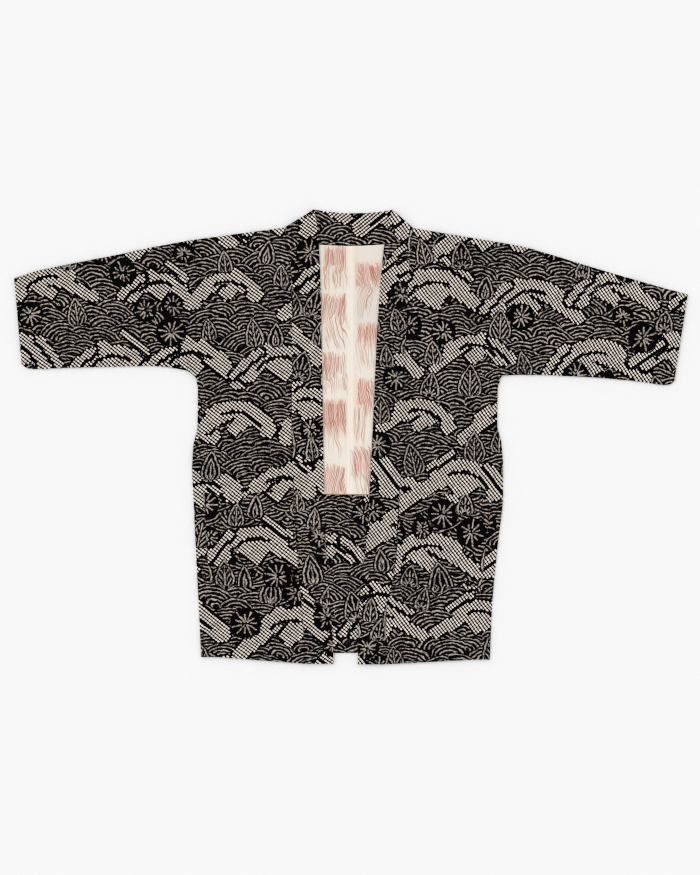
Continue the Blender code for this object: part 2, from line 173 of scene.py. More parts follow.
CREASES = [  # smaller folds and troughs, left sleeve to right sleeve
    Crease(-445, 143, 60, 4.5, 1, 1.6),
    Crease(-440, 152, 70, 4.0, 2, -0.9),
    Crease(-585, 215, 42, 7.0, 74, 0.8),
    Crease(-560, 196, 55, 6.0, 60, -0.7),
    Crease(-505, 330, 46, 6.5, 20, 0.7),
    Crease(-360, 205, 50, 7.5, 52, 1.0),
    Crease(-346, 196, 45, 5.0, 55, -0.8),
    Crease(-330, 300, 45, 6.0, 84, 0.7),
    Crease(-300, 150, 34, 6.0, 48, 1.3),
    Crease(-292, 132, 30, 4.5, 40, -0.7),
    Crease(-272, 330, 60, 8.0, 18, 0.7),
    Crease(-240, 205, 55, 8.0, 72, 0.6),
    Crease(-276, 10, 36, 5.0, 84, 1.1),
    Crease(-281, -60, 30, 4.5, 96, -0.6),
    Crease(-205, -20, 60, 9.0, 12, 0.6),
    Crease(-195, -320, 50, 7.0, 70, 0.8),
    Crease(-160, -392, 38, 7.0, 96, 0.9),
    Crease(-232, -395, 28, 6.0, 88, 0.8),
    Crease(-130, -300, 45, 6.0, 92, 0.6),
    Crease(-118, 345, 26, 5.0, 60, 0.9),
    Crease(-82, -350, 40, 6.0, 88, 0.7),
    Crease(-84, 150, 70, 8.0, 90, 0.5),
    Crease(62, 160, 70, 8.0, 88, 0.5),
    Crease(40, -360, 40, 6.0, 92, 0.7),
    Crease(102, 352, 26, 5.0, 118, 0.9),
    Crease(135, 300, 50, 8.0, 110, 0.6),
    Crease(118, -395, 30, 6.0, 84, 0.8),
    Crease(195, -390, 36, 7.0, 100, 0.9),
    Crease(160, -318, 50, 7.0, 108, 0.7),
    Crease(262, 5, 40, 5.0, 94, 1.1),
    Crease(268, -60, 30, 4.5, 84, -0.6),
    Crease(205, 30, 60, 9.0, 170, 0.6),
    Crease(235, 215, 50, 7.5, 118, 0.7),
    Crease(278, 142, 34, 6.0, 130, 1.3),
    Crease(270, 126, 30, 4.5, 138, -0.7),
    Crease(305, 262, 46, 6.0, 98, 0.7),
    Crease(338, 190, 50, 7.5, 128, 0.9),
    Crease(352, 182, 45, 5.0, 126, -0.7),
    Crease(470, 128, 70, 4.5, -4, 1.4),
    Crease(466, 138, 70, 4.0, -5, -0.8),
    Crease(540, 255, 60, 7.0, -30, 0.7),
    Crease(585, 170, 44, 7.0, 80, 0.8),
    Crease(565, 150, 50, 6.0, 96, -0.6),
]

THROUGH = [  # low creases that all the layers share, and so show on the back
    Crease(-470, 215, 90, 12, -38, 0.6),
    Crease(-345, 265, 70, 10, 58, 0.7),
    Crease(-250, 90, 80, 12, 70, 0.6),
    Crease(-170, -180, 110, 14, 82, 0.5),
    Crease(-60, 210, 90, 12, 94, 0.5),
    Crease(-215, -330, 60, 10, 64, 0.7),
    Crease(70, -40, 100, 13, 97, 0.5),
    Crease(180, -250, 90, 12, 104, 0.6),
    Crease(215, 120, 80, 11, 110, 0.6),
    Crease(330, 235, 70, 10, 120, 0.7),
    Crease(480, 205, 90, 12, 30, 0.6),
]


def along_across(place, x, y):
    """Where x, y lies from a place, along and across the way that the place is turned, in degrees."""
    angle = radians(place.turn)
    along = (x - place.x) * cos(angle) + (y - place.y) * sin(angle)
    across = (y - place.y) * cos(angle) - (x - place.x) * sin(angle)
    return along, across


def bells(x, y, creases):
    """The sum of the creases at x, y: each is height * exp(-(along/reach)^2 - (across/half_width)^2)."""
    total = np.zeros(np.broadcast(x, y).shape)
    for crease in creases:
        along, across = along_across(crease, x, y)
        total += crease.height * np.exp(-((along / crease.reach) ** 2) - (across / crease.half_width) ** 2)
    return total


def puckers(x, y):
    """The crepe's small waves: products of sines whose lengths, 23 to 61 mm, share no common step."""
    broad = np.sin(x / 9.7 + 1.3 * np.sin(y / 14.0)) * np.sin(y / 8.3 + 0.8)
    fine = np.sin((x + y) / 4.6 + 0.9) * np.sin((x - 0.7 * y) / 3.7)
    return 0.22 * broad + 0.12 * fine


def through(x, y):
    return bells(x, y, THROUGH)


def upper(x, y):
    """How far the upper cloth lies above its flat height: ridges, small creases and puckers. Its troughs
    stop short of the layer below."""
    low = RIDGE_LIMIT * np.tanh(bells(x, y, RIDGES) / RIDGE_LIMIT)
    return np.maximum(low + bells(x, y, CREASES) + puckers(x, y), -TROUGH_LIMIT) + through(x, y)


print(len(CREASES), "creases on the upper cloth,", len(THROUGH), "through all layers")

# %% [markdown]
# ## Rows of points
# A cloth is a grid of points: rows follow one direction of the piece and columns the other. The
# edges are smooth curves through the tables. A panel is ruled straight from edge to edge, and a
# fold is a half circle of rows that joins an upper height to a lower one.

# %% Curves and rulings
STEP = 4.0
PANEL_CELLS = 70
COLLAR_CELLS = 24
SLEEVE_CELLS = 62
FOLD_CELLS = 9
GUSSET_CELLS = 6
NECK_CELLS = 44


def column(table, name):
    return np.array([getattr(row, name) for row in table], float)


def smooth(at, stations, values):
    """A curve through (stations, values) with no overshoot: cubic pieces whose slope at each station
    is the harmonic mean of the slopes beside it, and nought where those slopes disagree."""
    order = np.argsort(stations)
    x = np.asarray(stations, float)[order]
    v = np.asarray(values, float)[order]
    slope = np.diff(v) / np.diff(x)
    before, after = slope[:-1], slope[1:]
    same_way = before * after > 0
    both = np.where(same_way, before + after, 1.0)
    tangent = np.concatenate([slope[:1], np.where(same_way, 2 * before * after / both, 0.0), slope[-1:]])
    at = np.clip(at, x[0], x[-1])
    i = np.clip(np.searchsorted(x, at) - 1, 0, len(x) - 2)
    width = x[i + 1] - x[i]
    t = (at - x[i]) / width
    start = (1 + 2 * t) * (1 - t) ** 2 * v[i] + t**2 * (3 - 2 * t) * v[i + 1]
    return start + width * t * (1 - t) * ((1 - t) * tangent[i] - t * tangent[i + 1])


def edge_x(table, y):
    return smooth(y, column(table, "y"), column(table, "x"))


def marks(places, step=STEP):
    """Steps from the first place to the last that stop at each place and are no longer than step."""
    found = [places[:1]]
    for start, end in zip(places[:-1], places[1:]):
        count = max(1, int(np.ceil(abs(end - start) / step)))
        found.append(np.linspace(start, end, count + 1)[1:])
    return np.concatenate(found)


def ruled(first, last, cells):
    """Rows of points, each a straight row of cells from a point of first to one of last."""
    share = np.linspace(0, 1, cells + 1)[None, :, None]
    return first[:, None, :] * (1 - share) + last[:, None, :] * share


def with_height(plan, height):
    """Adds Z to rows of points on the plan."""
    return np.dstack([plan, np.broadcast_to(height, plan.shape[:2])])


def half_turn(line, inward, above, below, wall=CLOTH, from_top=True):
    """The rows that take a cloth round a folded edge, on a half circle from above to below.
    line is the outermost edge and inward the plan direction into the cloth."""
    angles = np.linspace(pi / 2, -pi / 2, FOLD_CELLS + 1)[1:-1]
    angles = angles if from_top else -angles
    radius, middle = (above - below) / 2, (above + below) / 2
    rows = []
    for angle in angles:
        depth = radius * (1 - np.cos(angle)) + wall / 2
        plan = line + depth[:, None] * inward
        rows.append(np.column_stack([plan, middle + radius * np.sin(angle)]))
    return np.array(rows)


def heights(plan, flat, lift=through):
    return with_height(plan, flat + lift(plan[..., 0], plan[..., 1]))


print("the longest step along a panel is", STEP, "mm")

# %% [markdown]
# ## The body
# Each half of the body is one strip. It starts as the facing turned up inside the back hem, runs
# up the back, folds over the shoulder and comes down the front, so there is no shoulder seam.
# The lining is felled to the inside of the back, and a pocket is a patch cut to the front.

# %% Body, lining and pocket
SEAM_GAP = 0.12  # left between the two lining panels


def side_rows(half):
    """Heights of the rows below the armhole, which front, back and gusset share at the side."""
    places = [126, 122, 116, GUSSET_TOP_Y, 93, 19, *half.pocket, half.hem_side]
    return marks(np.array(places, float))


def front_plan(half):
    """The front from the shoulder to the hem, side edge to collar seam, and its rows' side heights."""
    top_side, top_seam = half.side[0], half.seam[0]
    side_y = side_rows(half)
    side_y = np.concatenate([marks(np.array([top_side.y - FOLD_ROOM, side_y[0]])), side_y[1:]])
    share = (top_side.y - side_y) / (top_side.y - half.hem_side)
    seam_y = top_seam.y + share * (half.hem_seam - top_seam.y)
    side = np.column_stack([edge_x(half.side, side_y), side_y])
    seam = np.column_stack([edge_x(half.seam, seam_y), seam_y])
    return ruled(side, seam, PANEL_CELLS), side_y


def neck_points(half, prefix):
    """The neck seam, or the collar's upper edge beside it, from the shoulder to the middle."""
    stations = np.linspace(0, 1, len(half.neck))
    at = np.linspace(0, 1, NECK_CELLS + 1)
    x = smooth(at, stations, column(half.neck, prefix + "_x"))
    y = smooth(at, stations, column(half.neck, prefix + "_y"))
    return np.column_stack([x, y])


def back_plan(half):
    """The back from the shoulder to the hem, side edge to neck and centre seam."""
    neck = neck_points(half, "seam")
    neck[-1, 0] += half.way * GAP / 2
    side_hem, centre_hem = half.back_hem
    top = half.side[0].y
    neck_side = np.concatenate([[top], np.linspace(top - FOLD_ROOM, top - NECK_TILT, len(neck) - 1)])
    hem_y = side_hem + TURN_GAP + CLOTH
    lower = side_rows(half)
    lower = np.append(lower[lower > hem_y + 1], hem_y)
    middle = marks(np.array([neck_side[-1], lower[0]]))[1:-1]
    side_y = np.concatenate([middle, lower])
    known_side = [lower[-1], half.pocket[0], lower[0], neck_side[-1]]
    known_centre = [centre_hem + TURN_GAP + CLOTH, FACING_TOP_Y, lower[0], neck[-1, 1]]
    centre_y = np.interp(side_y, known_side, known_centre)
    centre = np.column_stack([np.full(len(centre_y), neck[-1, 0]), centre_y])
    side_y = np.concatenate([neck_side, side_y])
    side = np.column_stack([edge_x(half.side, side_y), side_y])
    return ruled(side, np.vstack([neck, centre]), PANEL_CELLS)


def body_stretches(half):
    """The strip as four stretches of rows: facing, hem fold with back, shoulder fold, front."""
    back = back_plan(half)
    front, _ = front_plan(half)
    facing = back[back[:, -1, 1] <= FACING_TOP_Y + 0.01]
    down = np.array([0.0, -1.0])
    hem_line = facing[-1] + down * (TURN_GAP / 2 + CLOTH + CLOTH / 2)
    under = through(hem_line[:, 0], hem_line[:, 1])
    hem = half_turn(hem_line, -down, FACING_Z + under, BACK_Z + under)
    line = back[0]
    above = FRONT_Z + upper(line[:, 0], line[:, 1])
    shoulder = half_turn(line, down, above, BACK_Z + through(line[:, 0], line[:, 1]), from_top=False)
    return [heights(facing, FACING_Z), hem, heights(back[:0:-1], BACK_Z), shoulder,
            heights(front, FRONT_Z, upper)]


def lining_panel(half):
    """The silk on the inside of the back, made from the back's points moved in and up."""
    back = back_plan(half)[2:]
    plan = back[back[:, -1, 1] >= FACING_TOP_Y - 0.01]
    plan[:, 0, 0] -= half.way * LINING_INSET
    plan[:, -1, 0] -= half.way * (GAP / 2 - SEAM_GAP / 2)
    plan = ruled(plan[:, 0], plan[:, -1], PANEL_CELLS)
    drop = np.linspace(1, 0, len(plan))[:, None]
    plan[..., 1] -= NECK_INSET * drop
    plan[-1, :, 1] += GAP
    return heights(plan, LINING_Z)


def pocket_patch(half):
    """A patch pocket made from the front's own points, moved out."""
    plan, side_y = front_plan(half)
    top, bottom = half.pocket
    patch = plan[(side_y <= top + 0.01) & (side_y >= bottom - 0.01)].copy()
    first, last = patch[:, 0].copy(), patch[:, -1].copy()
    first[:, 0] -= half.way * POCKET_INSET
    last[:, 0] += half.way * POCKET_INSET
    return heights(ruled(first, last, PANEL_CELLS), FRONT_Z + POCKET_RISE, upper)


for half in (LEFT, RIGHT):
    print(half.name, "strip rows:", sum(len(s) for s in body_stretches(half)))

# %% [markdown]
# ## Sleeves, gussets and collar
# A sleeve is a flattened tube, so each section goes along the upper cloth, round the lower fold
# and back underneath. A gusset is a narrow folded strip under the arm. The collar is one doubled
# band: up one front, over the shoulder, along the neck and down the other front.

# %% Sleeve, gusset and collar rows
def sleeve_tube(half):
    """Sections from the armhole to the cuff. Each starts at the top fold and ends beside it."""
    cuts = half.sleeve
    run = np.abs(column(cuts, "top_x") - cuts[0].top_x)
    at = marks(run[[0, 1, 6, 7, 8]])
    top = np.column_stack([smooth(at, run, column(cuts, "top_" + axis)) for axis in "xy"])
    low = np.column_stack([smooth(at, run, column(cuts, "low_" + axis)) for axis in "xy"])
    top[0, 0] += half.way * GAP
    low[0, 0] += half.way * GAP
    down = (low - top) / np.linalg.norm(low - top, axis=1)[:, None]
    upper_at, lower_at = (FRONT_Z + upper(end[:, 0], end[:, 1]) for end in (top, low))
    top_back, low_back = (BACK_Z + through(end[:, 0], end[:, 1]) for end in (top, low))
    top_in = top + down * ((upper_at - top_back) / 2 + CLOTH / 2)[:, None]
    low_in = low - down * ((lower_at - low_back) / 2 + CLOTH / 2)[:, None]
    plan = ruled(top_in, low_in, SLEEVE_CELLS)
    front = heights(plan, FRONT_Z, upper)
    under = heights(plan[:, ::-1], BACK_Z)
    low_turn = half_turn(low, -down, lower_at, low_back).transpose(1, 0, 2)
    top_turn = half_turn(top, down, upper_at, top_back, from_top=False).transpose(1, 0, 2)
    return np.concatenate([front, low_turn, under, top_turn], axis=1)


def gusset_strip(half):
    """The folded strip between the front's and the back's side edges."""
    y = side_rows(half)
    y = y[y <= GUSSET_TOP_Y]
    sewn = edge_x(half.side, y) + half.way * GAP
    outer = edge_x(half.fold, y) - half.way * CLOTH / 2
    over = FRONT_Z + upper(outer, y)
    back = BACK_Z + through(outer, y)
    radius = (over - back) / 2
    depth = np.minimum(radius, 0.8 * np.abs(outer - sewn))
    turn = outer - half.way * depth
    rows = []
    for share in np.linspace(0, 1, GUSSET_CELLS + 1):
        x = sewn + share * (turn - sewn)
        rows.append([x, y, FRONT_Z + upper(x, y)])
    for angle in np.linspace(pi / 2, -pi / 2, FOLD_CELLS + 1)[1:-1]:
        rows.append([turn + half.way * depth * np.cos(angle), y, back + radius + radius * np.sin(angle)])
    for share in np.linspace(1, 0, GUSSET_CELLS + 1):
        rows.append([sewn + share * (turn - sewn), y, back])
    return np.array(rows).transpose(2, 0, 1)


def collar_half(half):
    """The band from the hem up one front, over the shoulder and along the neck to the middle."""
    free_y = column(half.band, "free_y")
    at = marks(free_y[[0, 4, -2]])
    free = np.column_stack([smooth(at, free_y, column(half.band, "free_x")), at])
    seam_y = smooth(at, free_y, column(half.band, "seam_y"))
    seam = np.column_stack([edge_x(half.seam, seam_y) - half.way * GAP, seam_y])
    plan = ruled(seam, free, COLLAR_CELLS)

    neck_seam, neck_free = neck_points(half, "seam"), neck_points(half, "free")
    course = np.gradient(neck_seam, axis=0)
    outward = np.column_stack([course[:, 1], -course[:, 0]]) * half.way
    neck_seam += GAP * outward / np.linalg.norm(outward, axis=1)[:, None]
    neck = ruled(neck_seam, neck_free, COLLAR_CELLS)

    line = neck[0]
    run = line[-1] - line[0]
    inward = np.array([-run[1], run[0]]) / np.linalg.norm(run) * half.way
    from_fold = np.abs((plan - line[0]) @ inward)
    puff = COLLAR_PUFF * np.exp(-((from_fold / COLLAR_PUFF_REACH) ** 2))
    front = heights(plan, COLLAR_FRONT_Z + puff, upper)
    above = COLLAR_FRONT_Z + COLLAR_PUFF + upper(line[:, 0], line[:, 1])
    below = np.full(len(line), COLLAR_BACK_Z)
    turn = half_turn(line, inward, above, below, wall=COLLAR)
    to_fold = [front[-1] * (1 - share) + turn[0] * share for share in (0.25, 0.5, 0.75)]
    return np.concatenate([front, to_fold]), turn, with_height(neck[1:], COLLAR_BACK_Z)


print("sleeve sections:", len(sleeve_tube(LEFT)), "and collar rows:", sum(map(len, collar_half(LEFT))))

# %% [markdown]
# ## The dyed pattern
# The dyer ties every white dash by hand along a drawn design: hills filled with dashes, each edged
# with black, with leaves and small bursts between them and fans of waves over the rest. A picture
# of it would blur, so the design is kept as shapes instead. Bending strips and rounded blocks are
# laid on each other in order, as a dyer lays stencils. HILL lays a white shape with a black
# outline, JOIN adds to the shape beneath, and LINE cuts a black contour.

# %% One hill from strips and a block
HILL, JOIN, LINE = "hill", "join", "line"
OUTLINE = 6.6  # black kept round a hill
CONTOUR = 6.4
SLOPE = -36.0  # degrees, of the long slope of a hill
Block = namedtuple("Block", "ink x y turn long wide corner")
Strip = namedtuple("Strip", "ink x y turn length bend width")


def one_hill(x, y, size, facing, lean, kind):
    """An arch over a filled foot, with a long slope down one side and black contours along both. facing
    is 1 or -1, and turns the long slope to the right or the left. A strip is given by its start, across
    and up from the middle of a hill of size 1, its turn, length and bend, and its own width."""

    def strip(ink, across, up, turn, length, bend, width):
        turn = turn + lean if facing > 0 else 180 - turn - lean
        return Strip(ink, x + facing * across * size, y + up * size, turn, length * size,
                     bend * facing, width)

    slope = facing * (lean + SLOPE)
    shapes = [
        strip(HILL, -52, -30, 58, 128, -96, 34 * size),
        Block(JOIN, x + facing * 2 * size, y - 8 * size, slope, 70 * size, 44 * size, 6),
        strip(JOIN, 26, 6, SLOPE, 92, 0, 25 * size),
        strip(LINE, -34, -24, 58, 84, -88, CONTOUR),
    ]
    if kind < 2:
        shapes.append(strip(LINE, 14, -8, -34, 66, 0, CONTOUR))
    if kind != 1:
        shapes.append(strip(HILL, -78, -34, 52, 66, -16, 14))
    if kind == 2:
        shapes.append(strip(HILL, 30, 44, -38, 58, 0, 11))
    return shapes


# %% [markdown]
# Both kinds of shape become distance fields, in millimetres: how far a point is inside the white.
# Laying a shape with its outline is then a maximum and a minimum of distances. The slope of the
# field goes along with it, so that the finish can ask whether the middle of each dash is in the
# white, and show or leave out the whole dash. That gives the stepped edges of tied cloth.

# %% Distance fields of the design
REACH = 40.0  # how far from a shape its distance is worked out


def block_depth(block, x, y):
    """Depth inside a rounded rectangle: corner radius less the length of the overhang past its core."""
    along, across = along_across(block, x, y)
    along = np.abs(along) - block.long / 2 + block.corner
    across = np.abs(across) - block.wide / 2 + block.corner
    outside = np.hypot(np.maximum(along, 0), np.maximum(across, 0))
    return block.corner - outside - np.minimum(np.maximum(along, across), 0)


def strip_depth(strip, x, y):
    """Depth inside a band of even width round an arc, which is a straight line where bend is nought."""
    along, across = along_across(strip, x, y)
    if strip.bend == 0:
        return strip.width / 2 - np.hypot(along - np.clip(along, 0, strip.length), across)
    bend = radians(strip.bend)
    radius = strip.length / bend
    turned = np.arctan2(along, np.abs(radius) - across * np.sign(bend))
    held = np.clip(turned, 0, abs(bend))
    end_along = np.abs(radius) * np.sin(held)
    end_across = radius * (1 - np.cos(held))
    return strip.width / 2 - np.hypot(along - end_along, across - end_across)


DEPTHS = {Block: block_depth, Strip: strip_depth}


def reach_of(shape):
    """How far a shape goes from its own place."""
    return shape.long / 2 + shape.wide / 2 if isinstance(shape, Block) else shape.length + shape.width


def white_depth(x, y, shapes):
    """Lays the shapes in order. HILL first takes away its own outline's worth of what lies below."""
    depth = np.full(x.shape, -REACH)
    for shape in shapes:
        size = reach_of(shape)
        near = (np.abs(x - shape.x) < size + REACH) & (np.abs(y - shape.y) < size + REACH)
        if not near.any():
            continue
        inside = DEPTHS[type(shape)](shape, x[near], y[near])
        below = depth[near]
        if shape.ink == LINE:
            depth[near] = np.minimum(below, -inside)
            continue
        if shape.ink == HILL:
            below = np.minimum(below, -(inside + OUTLINE))
        depth[near] = np.maximum(below, inside)
    return depth


# %% [markdown]
# The hills stand in staggered rows, and each lower row lies in front of the one above. Their places,
# sizes and slants are drawn from a seeded generator, which also leaves some places empty for the
# waves. Leaves, palm leaves, nuts and bursts are then scattered over the dark places between.

# %% Rows of hills, and leaves between them
HILL_PITCH, HILL_ROW = 180.0, 124.0
HILL_SHIFT_X, HILL_SHIFT_Y = 56.0, 30.0  # how far in all a hill may stray from its place
LEAST_HILL, HILL_GROWTH = 0.8, 0.45
MOST_LEAN = 11.0
FACING_RIGHT = 0.62  # the share of hills whose long slope is on the right
LEAF, PALM, BURST, NUT = 1.0, 2.0, 3.0, 4.0
Motif = namedtuple("Motif", "kind x y turn long wide")
Box = namedtuple("Box", "left right bottom top")
MOTIF_TRIES = 420
MOTIF_ROOM = 9.0  # how far in the dark the middle of a motif lies at least
MOTIF_SPREAD = 0.40  # the least distance of two motifs, as a share of their lengths together


def landscape(box, seed, share=0.9):
    """Staggered rows of hills from the top of the box to its bottom, with that share of places filled."""
    draw = np.random.default_rng(seed)
    shapes = []
    for row, y in enumerate(np.arange(box.top, box.bottom - HILL_ROW, -HILL_ROW)):
        for x in np.arange(box.left - HILL_PITCH / 2 * (row % 2), box.right + HILL_PITCH, HILL_PITCH):
            shift_x, shift_y, size, lean, filled, side = draw.uniform(size=6)
            if filled < share:
                facing = 1 if side < FACING_RIGHT else -1
                shapes += one_hill(x + (shift_x - 0.5) * HILL_SHIFT_X, y + (shift_y - 0.5) * HILL_SHIFT_Y,
                                   LEAST_HILL + size * HILL_GROWTH, facing, (lean - 0.5) * 2 * MOST_LEAN,
                                   draw.integers(3))
    return shapes


def scattered(shapes, box, seed):
    """Motifs at random places that lie in the dark and clear of each other."""
    draw = np.random.default_rng(seed)
    x, y = draw.uniform(box.left, box.right, MOTIF_TRIES), draw.uniform(box.bottom, box.top, MOTIF_TRIES)
    dark = -white_depth(x, y, shapes)
    motifs = []
    for place_x, place_y, room in zip(x, y, dark):
        kind = draw.choice([LEAF, LEAF, LEAF, PALM, BURST, BURST, NUT])
        long = draw.uniform(40, 60)
        clear = all(np.hypot(place_x - m.x, place_y - m.y) > MOTIF_SPREAD * (long + m.long) for m in motifs)
        if room > MOTIF_ROOM and clear:
            wide = long if kind == BURST else long * draw.uniform(0.58, 0.8)
            motifs.append(Motif(kind, place_x, place_y, draw.uniform(-14, 14), long, wide))
    return motifs


WHOLE = Box(-660, 660, -440, 410)
BAND = Box(-140, 140, -440, 440)
NECK_BOX = Box(-100, 100, 350, 440)
POCKETS = Box(-310, 310, -300, -80)
GARMENT_HILLS = landscape(WHOLE, 3)
COLLAR_HILLS = landscape(BAND, 21)
NECK_HILLS = landscape(NECK_BOX, 8, share=1.0)
POCKET_HILLS = landscape(POCKETS, 13)
GARMENT_MOTIFS = scattered(GARMENT_HILLS, WHOLE, 2)
COLLAR_MOTIFS = scattered(COLLAR_HILLS, BAND, 4)
POCKET_MOTIFS = scattered(POCKET_HILLS, POCKETS, 6)
print("shapes:", len(GARMENT_HILLS), "leaves, nuts and bursts:", len(GARMENT_MOTIFS))

# %% What the finish reads
MOTIF_RING = 3.0  # black kept round each leaf
LEAF_BASE, LEAF_TIP = 0.24, 0.82  # powers that shape the two ends of a leaf
LEAF_FULL = 0.5 / (0.23**LEAF_BASE * 0.77**LEAF_TIP)  # brings its widest place to half its width


def leaf_half_width(share, wide):
    """Half the width at a share of the length: a bell, share^base * (1 - share)^tip, full a quarter up."""
    return wide * LEAF_FULL * share**LEAF_BASE * (1 - share) ** LEAF_TIP


def motif_places(x, y, motifs):
    """Per point, the nearest motif: how deep inside, place across and along it, its length, width, kind."""
    deepest = np.full(x.shape, -REACH)
    across, along, long, wide, kind = (np.zeros(x.shape) for _ in range(5))
    for motif in motifs:
        a, b = along_across(motif, x, y)
        if motif.kind == BURST:
            inside = motif.long / 2 - MOTIF_RING - np.hypot(a, b)
        else:
            b = b + motif.long / 2
            ends = np.minimum(b, motif.long - b)
            sides = leaf_half_width(np.clip(b / motif.long, 0, 1), motif.wide) - np.abs(a)
            inside = np.where(ends > 0, np.minimum(sides, ends + 4), ends - np.abs(a))
        here = inside > deepest
        deepest = np.where(here, inside, deepest)
        across, along = np.where(here, a, across), np.where(here, b, along)
        long, wide = np.where(here, motif.long, long), np.where(here, motif.wide, wide)
        kind = np.where(here, motif.kind, kind)
    return deepest, across, along, long, wide, kind


def design_fields(x, y, shapes, motifs, turn, dash_turn):
    """The values that the finish reads at each point. turn is how far the cloth's own axes are turned
    from the table's, and dash_turn how far its rows of dashes are turned from the usual slant."""
    probe = 1.0
    motif_depth, across, along, long, wide, kind = motif_places(x, y, motifs)

    def depth_at(px, py):
        return white_depth(px, py, shapes)

    depth = depth_at(x, y)
    slope_x = (depth_at(x + probe, y) - depth_at(x - probe, y)) / (2 * probe)
    slope_y = (depth_at(x, y + probe) - depth_at(x, y - probe)) / (2 * probe)
    depth = np.minimum(depth, -(motif_depth + MOTIF_RING))
    c, s = cos(radians(turn)), sin(radians(turn))
    return {
        "cloth": np.stack([c * x + s * y, c * y - s * x, motif_depth], axis=-1),
        "white": np.stack([depth, c * slope_x + s * slope_y, c * slope_y - s * slope_x], axis=-1),
        "motif": np.stack([across, along, kind], axis=-1),
        "motif_size": np.stack([long, wide, np.full(x.shape, radians(dash_turn))], axis=-1),
    }


probe_x, probe_y = np.meshgrid(np.linspace(WHOLE.left, WHOLE.right, 400),
                               np.linspace(WHOLE.bottom, WHOLE.top, 250))
probe_depth = white_depth(probe_x, probe_y, GARMENT_HILLS)
print("share of the design in white dashes:", round(float((probe_depth > 0).mean()), 2))

# %% [markdown]
# ## From rows to a cloth
# A cloth is a closed wall: an outer skin, an inner skin and rims that join them, at half the
# thickness on each side of the middle surface. What the finish reads is stored at the corners of
# each face, not at its points, so that a tube or a folded strip can start its pattern again
# without a smear. One map, OFBake, lays the skins side by side for anyone who bakes the finish.

# %% A cloth from its middle surface
def point_normals(middle, wraps):
    """The mean of the unit normals of the faces round each point."""
    grid = np.concatenate([middle, middle[:, :1]], axis=1) if wraps else middle
    along, across = np.diff(grid, axis=0), np.diff(grid, axis=1)
    face = np.cross(along[:, :-1] + along[:, 1:], across[:-1] + across[1:])
    face /= np.linalg.norm(face, axis=2, keepdims=True)
    total = np.zeros(grid.shape)
    for rows in (slice(None, -1), slice(1, None)):
        for columns in (slice(None, -1), slice(1, None)):
            total[rows, columns] += face
    if wraps:
        total[:, 0] += total[:, -1]
        total = total[:, :-1]
    return total / np.linalg.norm(total, axis=2, keepdims=True)


def corners(grid):
    """The values at the four corners of each cell of a grid of points: (rows, columns, 4, ...)."""
    return np.stack([grid[:-1, :-1], grid[1:, :-1], grid[1:, 1:], grid[:-1, 1:]], axis=2)


def edge_pairs(index, wraps):
    """The open edges of a skin, as (start, end) points walked against the way its own faces walk them."""
    pairs = [(index[0, :-1], index[0, 1:]), (index[-1, 1:], index[-1, :-1])]
    if not wraps:
        pairs += [(index[1:, 0], index[:-1, 0]), (index[:-1, -1], index[1:, -1])]
    return pairs


def edge_values(cells, wraps):
    """The corner values at the start and end of the same edges."""
    values = [cells[0][:, [0, 3]], cells[-1][:, [2, 1]]]
    if not wraps:
        values += [cells[:, 0][:, [1, 0]], cells[:, -1][:, [3, 2]]]
    return values


def laid_on_map(lengths, cells_across, strips, left, width):
    """Places on the bake map: the skin is cut across into strips, which lie side by side from left."""
    walked = np.concatenate([[0], np.cumsum(lengths)])
    strip = np.floor((walked[:-1] + walked[1:]) / 2 / walked[-1] * strips).astype(int)
    first = np.searchsorted(strip, np.arange(strips))
    last = np.append(first[1:], len(strip))
    tall = (walked[last] - walked[first])[strip]
    low = 0.005 + 0.99 * (walked[:-1] - walked[first][strip]) / tall
    high = 0.005 + 0.99 * (walked[1:] - walked[first][strip]) / tall
    across = np.linspace(0.01, 0.99, cells_across + 1)
    u = left + width * (strip[:, None] + across) / strips
    low = np.dstack([u, np.broadcast_to(low[:, None], u.shape)])
    high = np.dstack([u, np.broadcast_to(high[:, None], u.shape)])
    return np.stack([low[:, :-1], high[:, :-1], high[:, 1:], low[:, 1:]], axis=2)


OUTSIDE_SHARE, INSIDE_SHARE = 0.82, 0.15  # of the bake map's width
REVERSED = [0, 3, 2, 1]


SHARP_FOLD = radians(50)


def store(mesh, fields, wraps):
    """Keeps each field at the corners of both skins' faces and of the rims between them."""
    for field, cells in fields.items():
        round_rims = [v[:, [0, 1, 1, 0]] for v in edge_values(cells, wraps)]
        skin_values = [cells.reshape(-1, 4, 3), cells[:, :, REVERSED].reshape(-1, 4, 3)]
        values = np.concatenate(skin_values + round_rims).reshape(-1).astype(np.float32)
        mesh.attributes.new(field, "FLOAT_VECTOR", "CORNER").data.foreach_set("vector", values)


def lay_map(mesh, lengths, cells_across, rim_count, outside, strips):
    """The bake map: the first skin on the left, the other beside it and the rims down the right."""
    shares = (OUTSIDE_SHARE, INSIDE_SHARE)[::outside]
    first = laid_on_map(lengths, cells_across, strips, 0.0, shares[0])
    second = laid_on_map(lengths, cells_across, strips, shares[0], shares[1])[:, :, REVERSED]
    step = np.linspace(0, 1, rim_count + 1)
    rims = np.empty((rim_count, 4, 2))
    rims[:, :, 0] = np.interp([0, 0, 1, 1], [0, 1], [sum(shares) + 0.008, 0.998])
    rims[:, :, 1] = np.stack([step[:-1], step[1:], step[1:], step[:-1]], axis=1)
    places = np.concatenate([first.reshape(-1, 4, 2), second.reshape(-1, 4, 2), rims])
    mesh.uv_layers.new(name="OFBake").data.foreach_set("uv", places.reshape(-1).astype(np.float32))


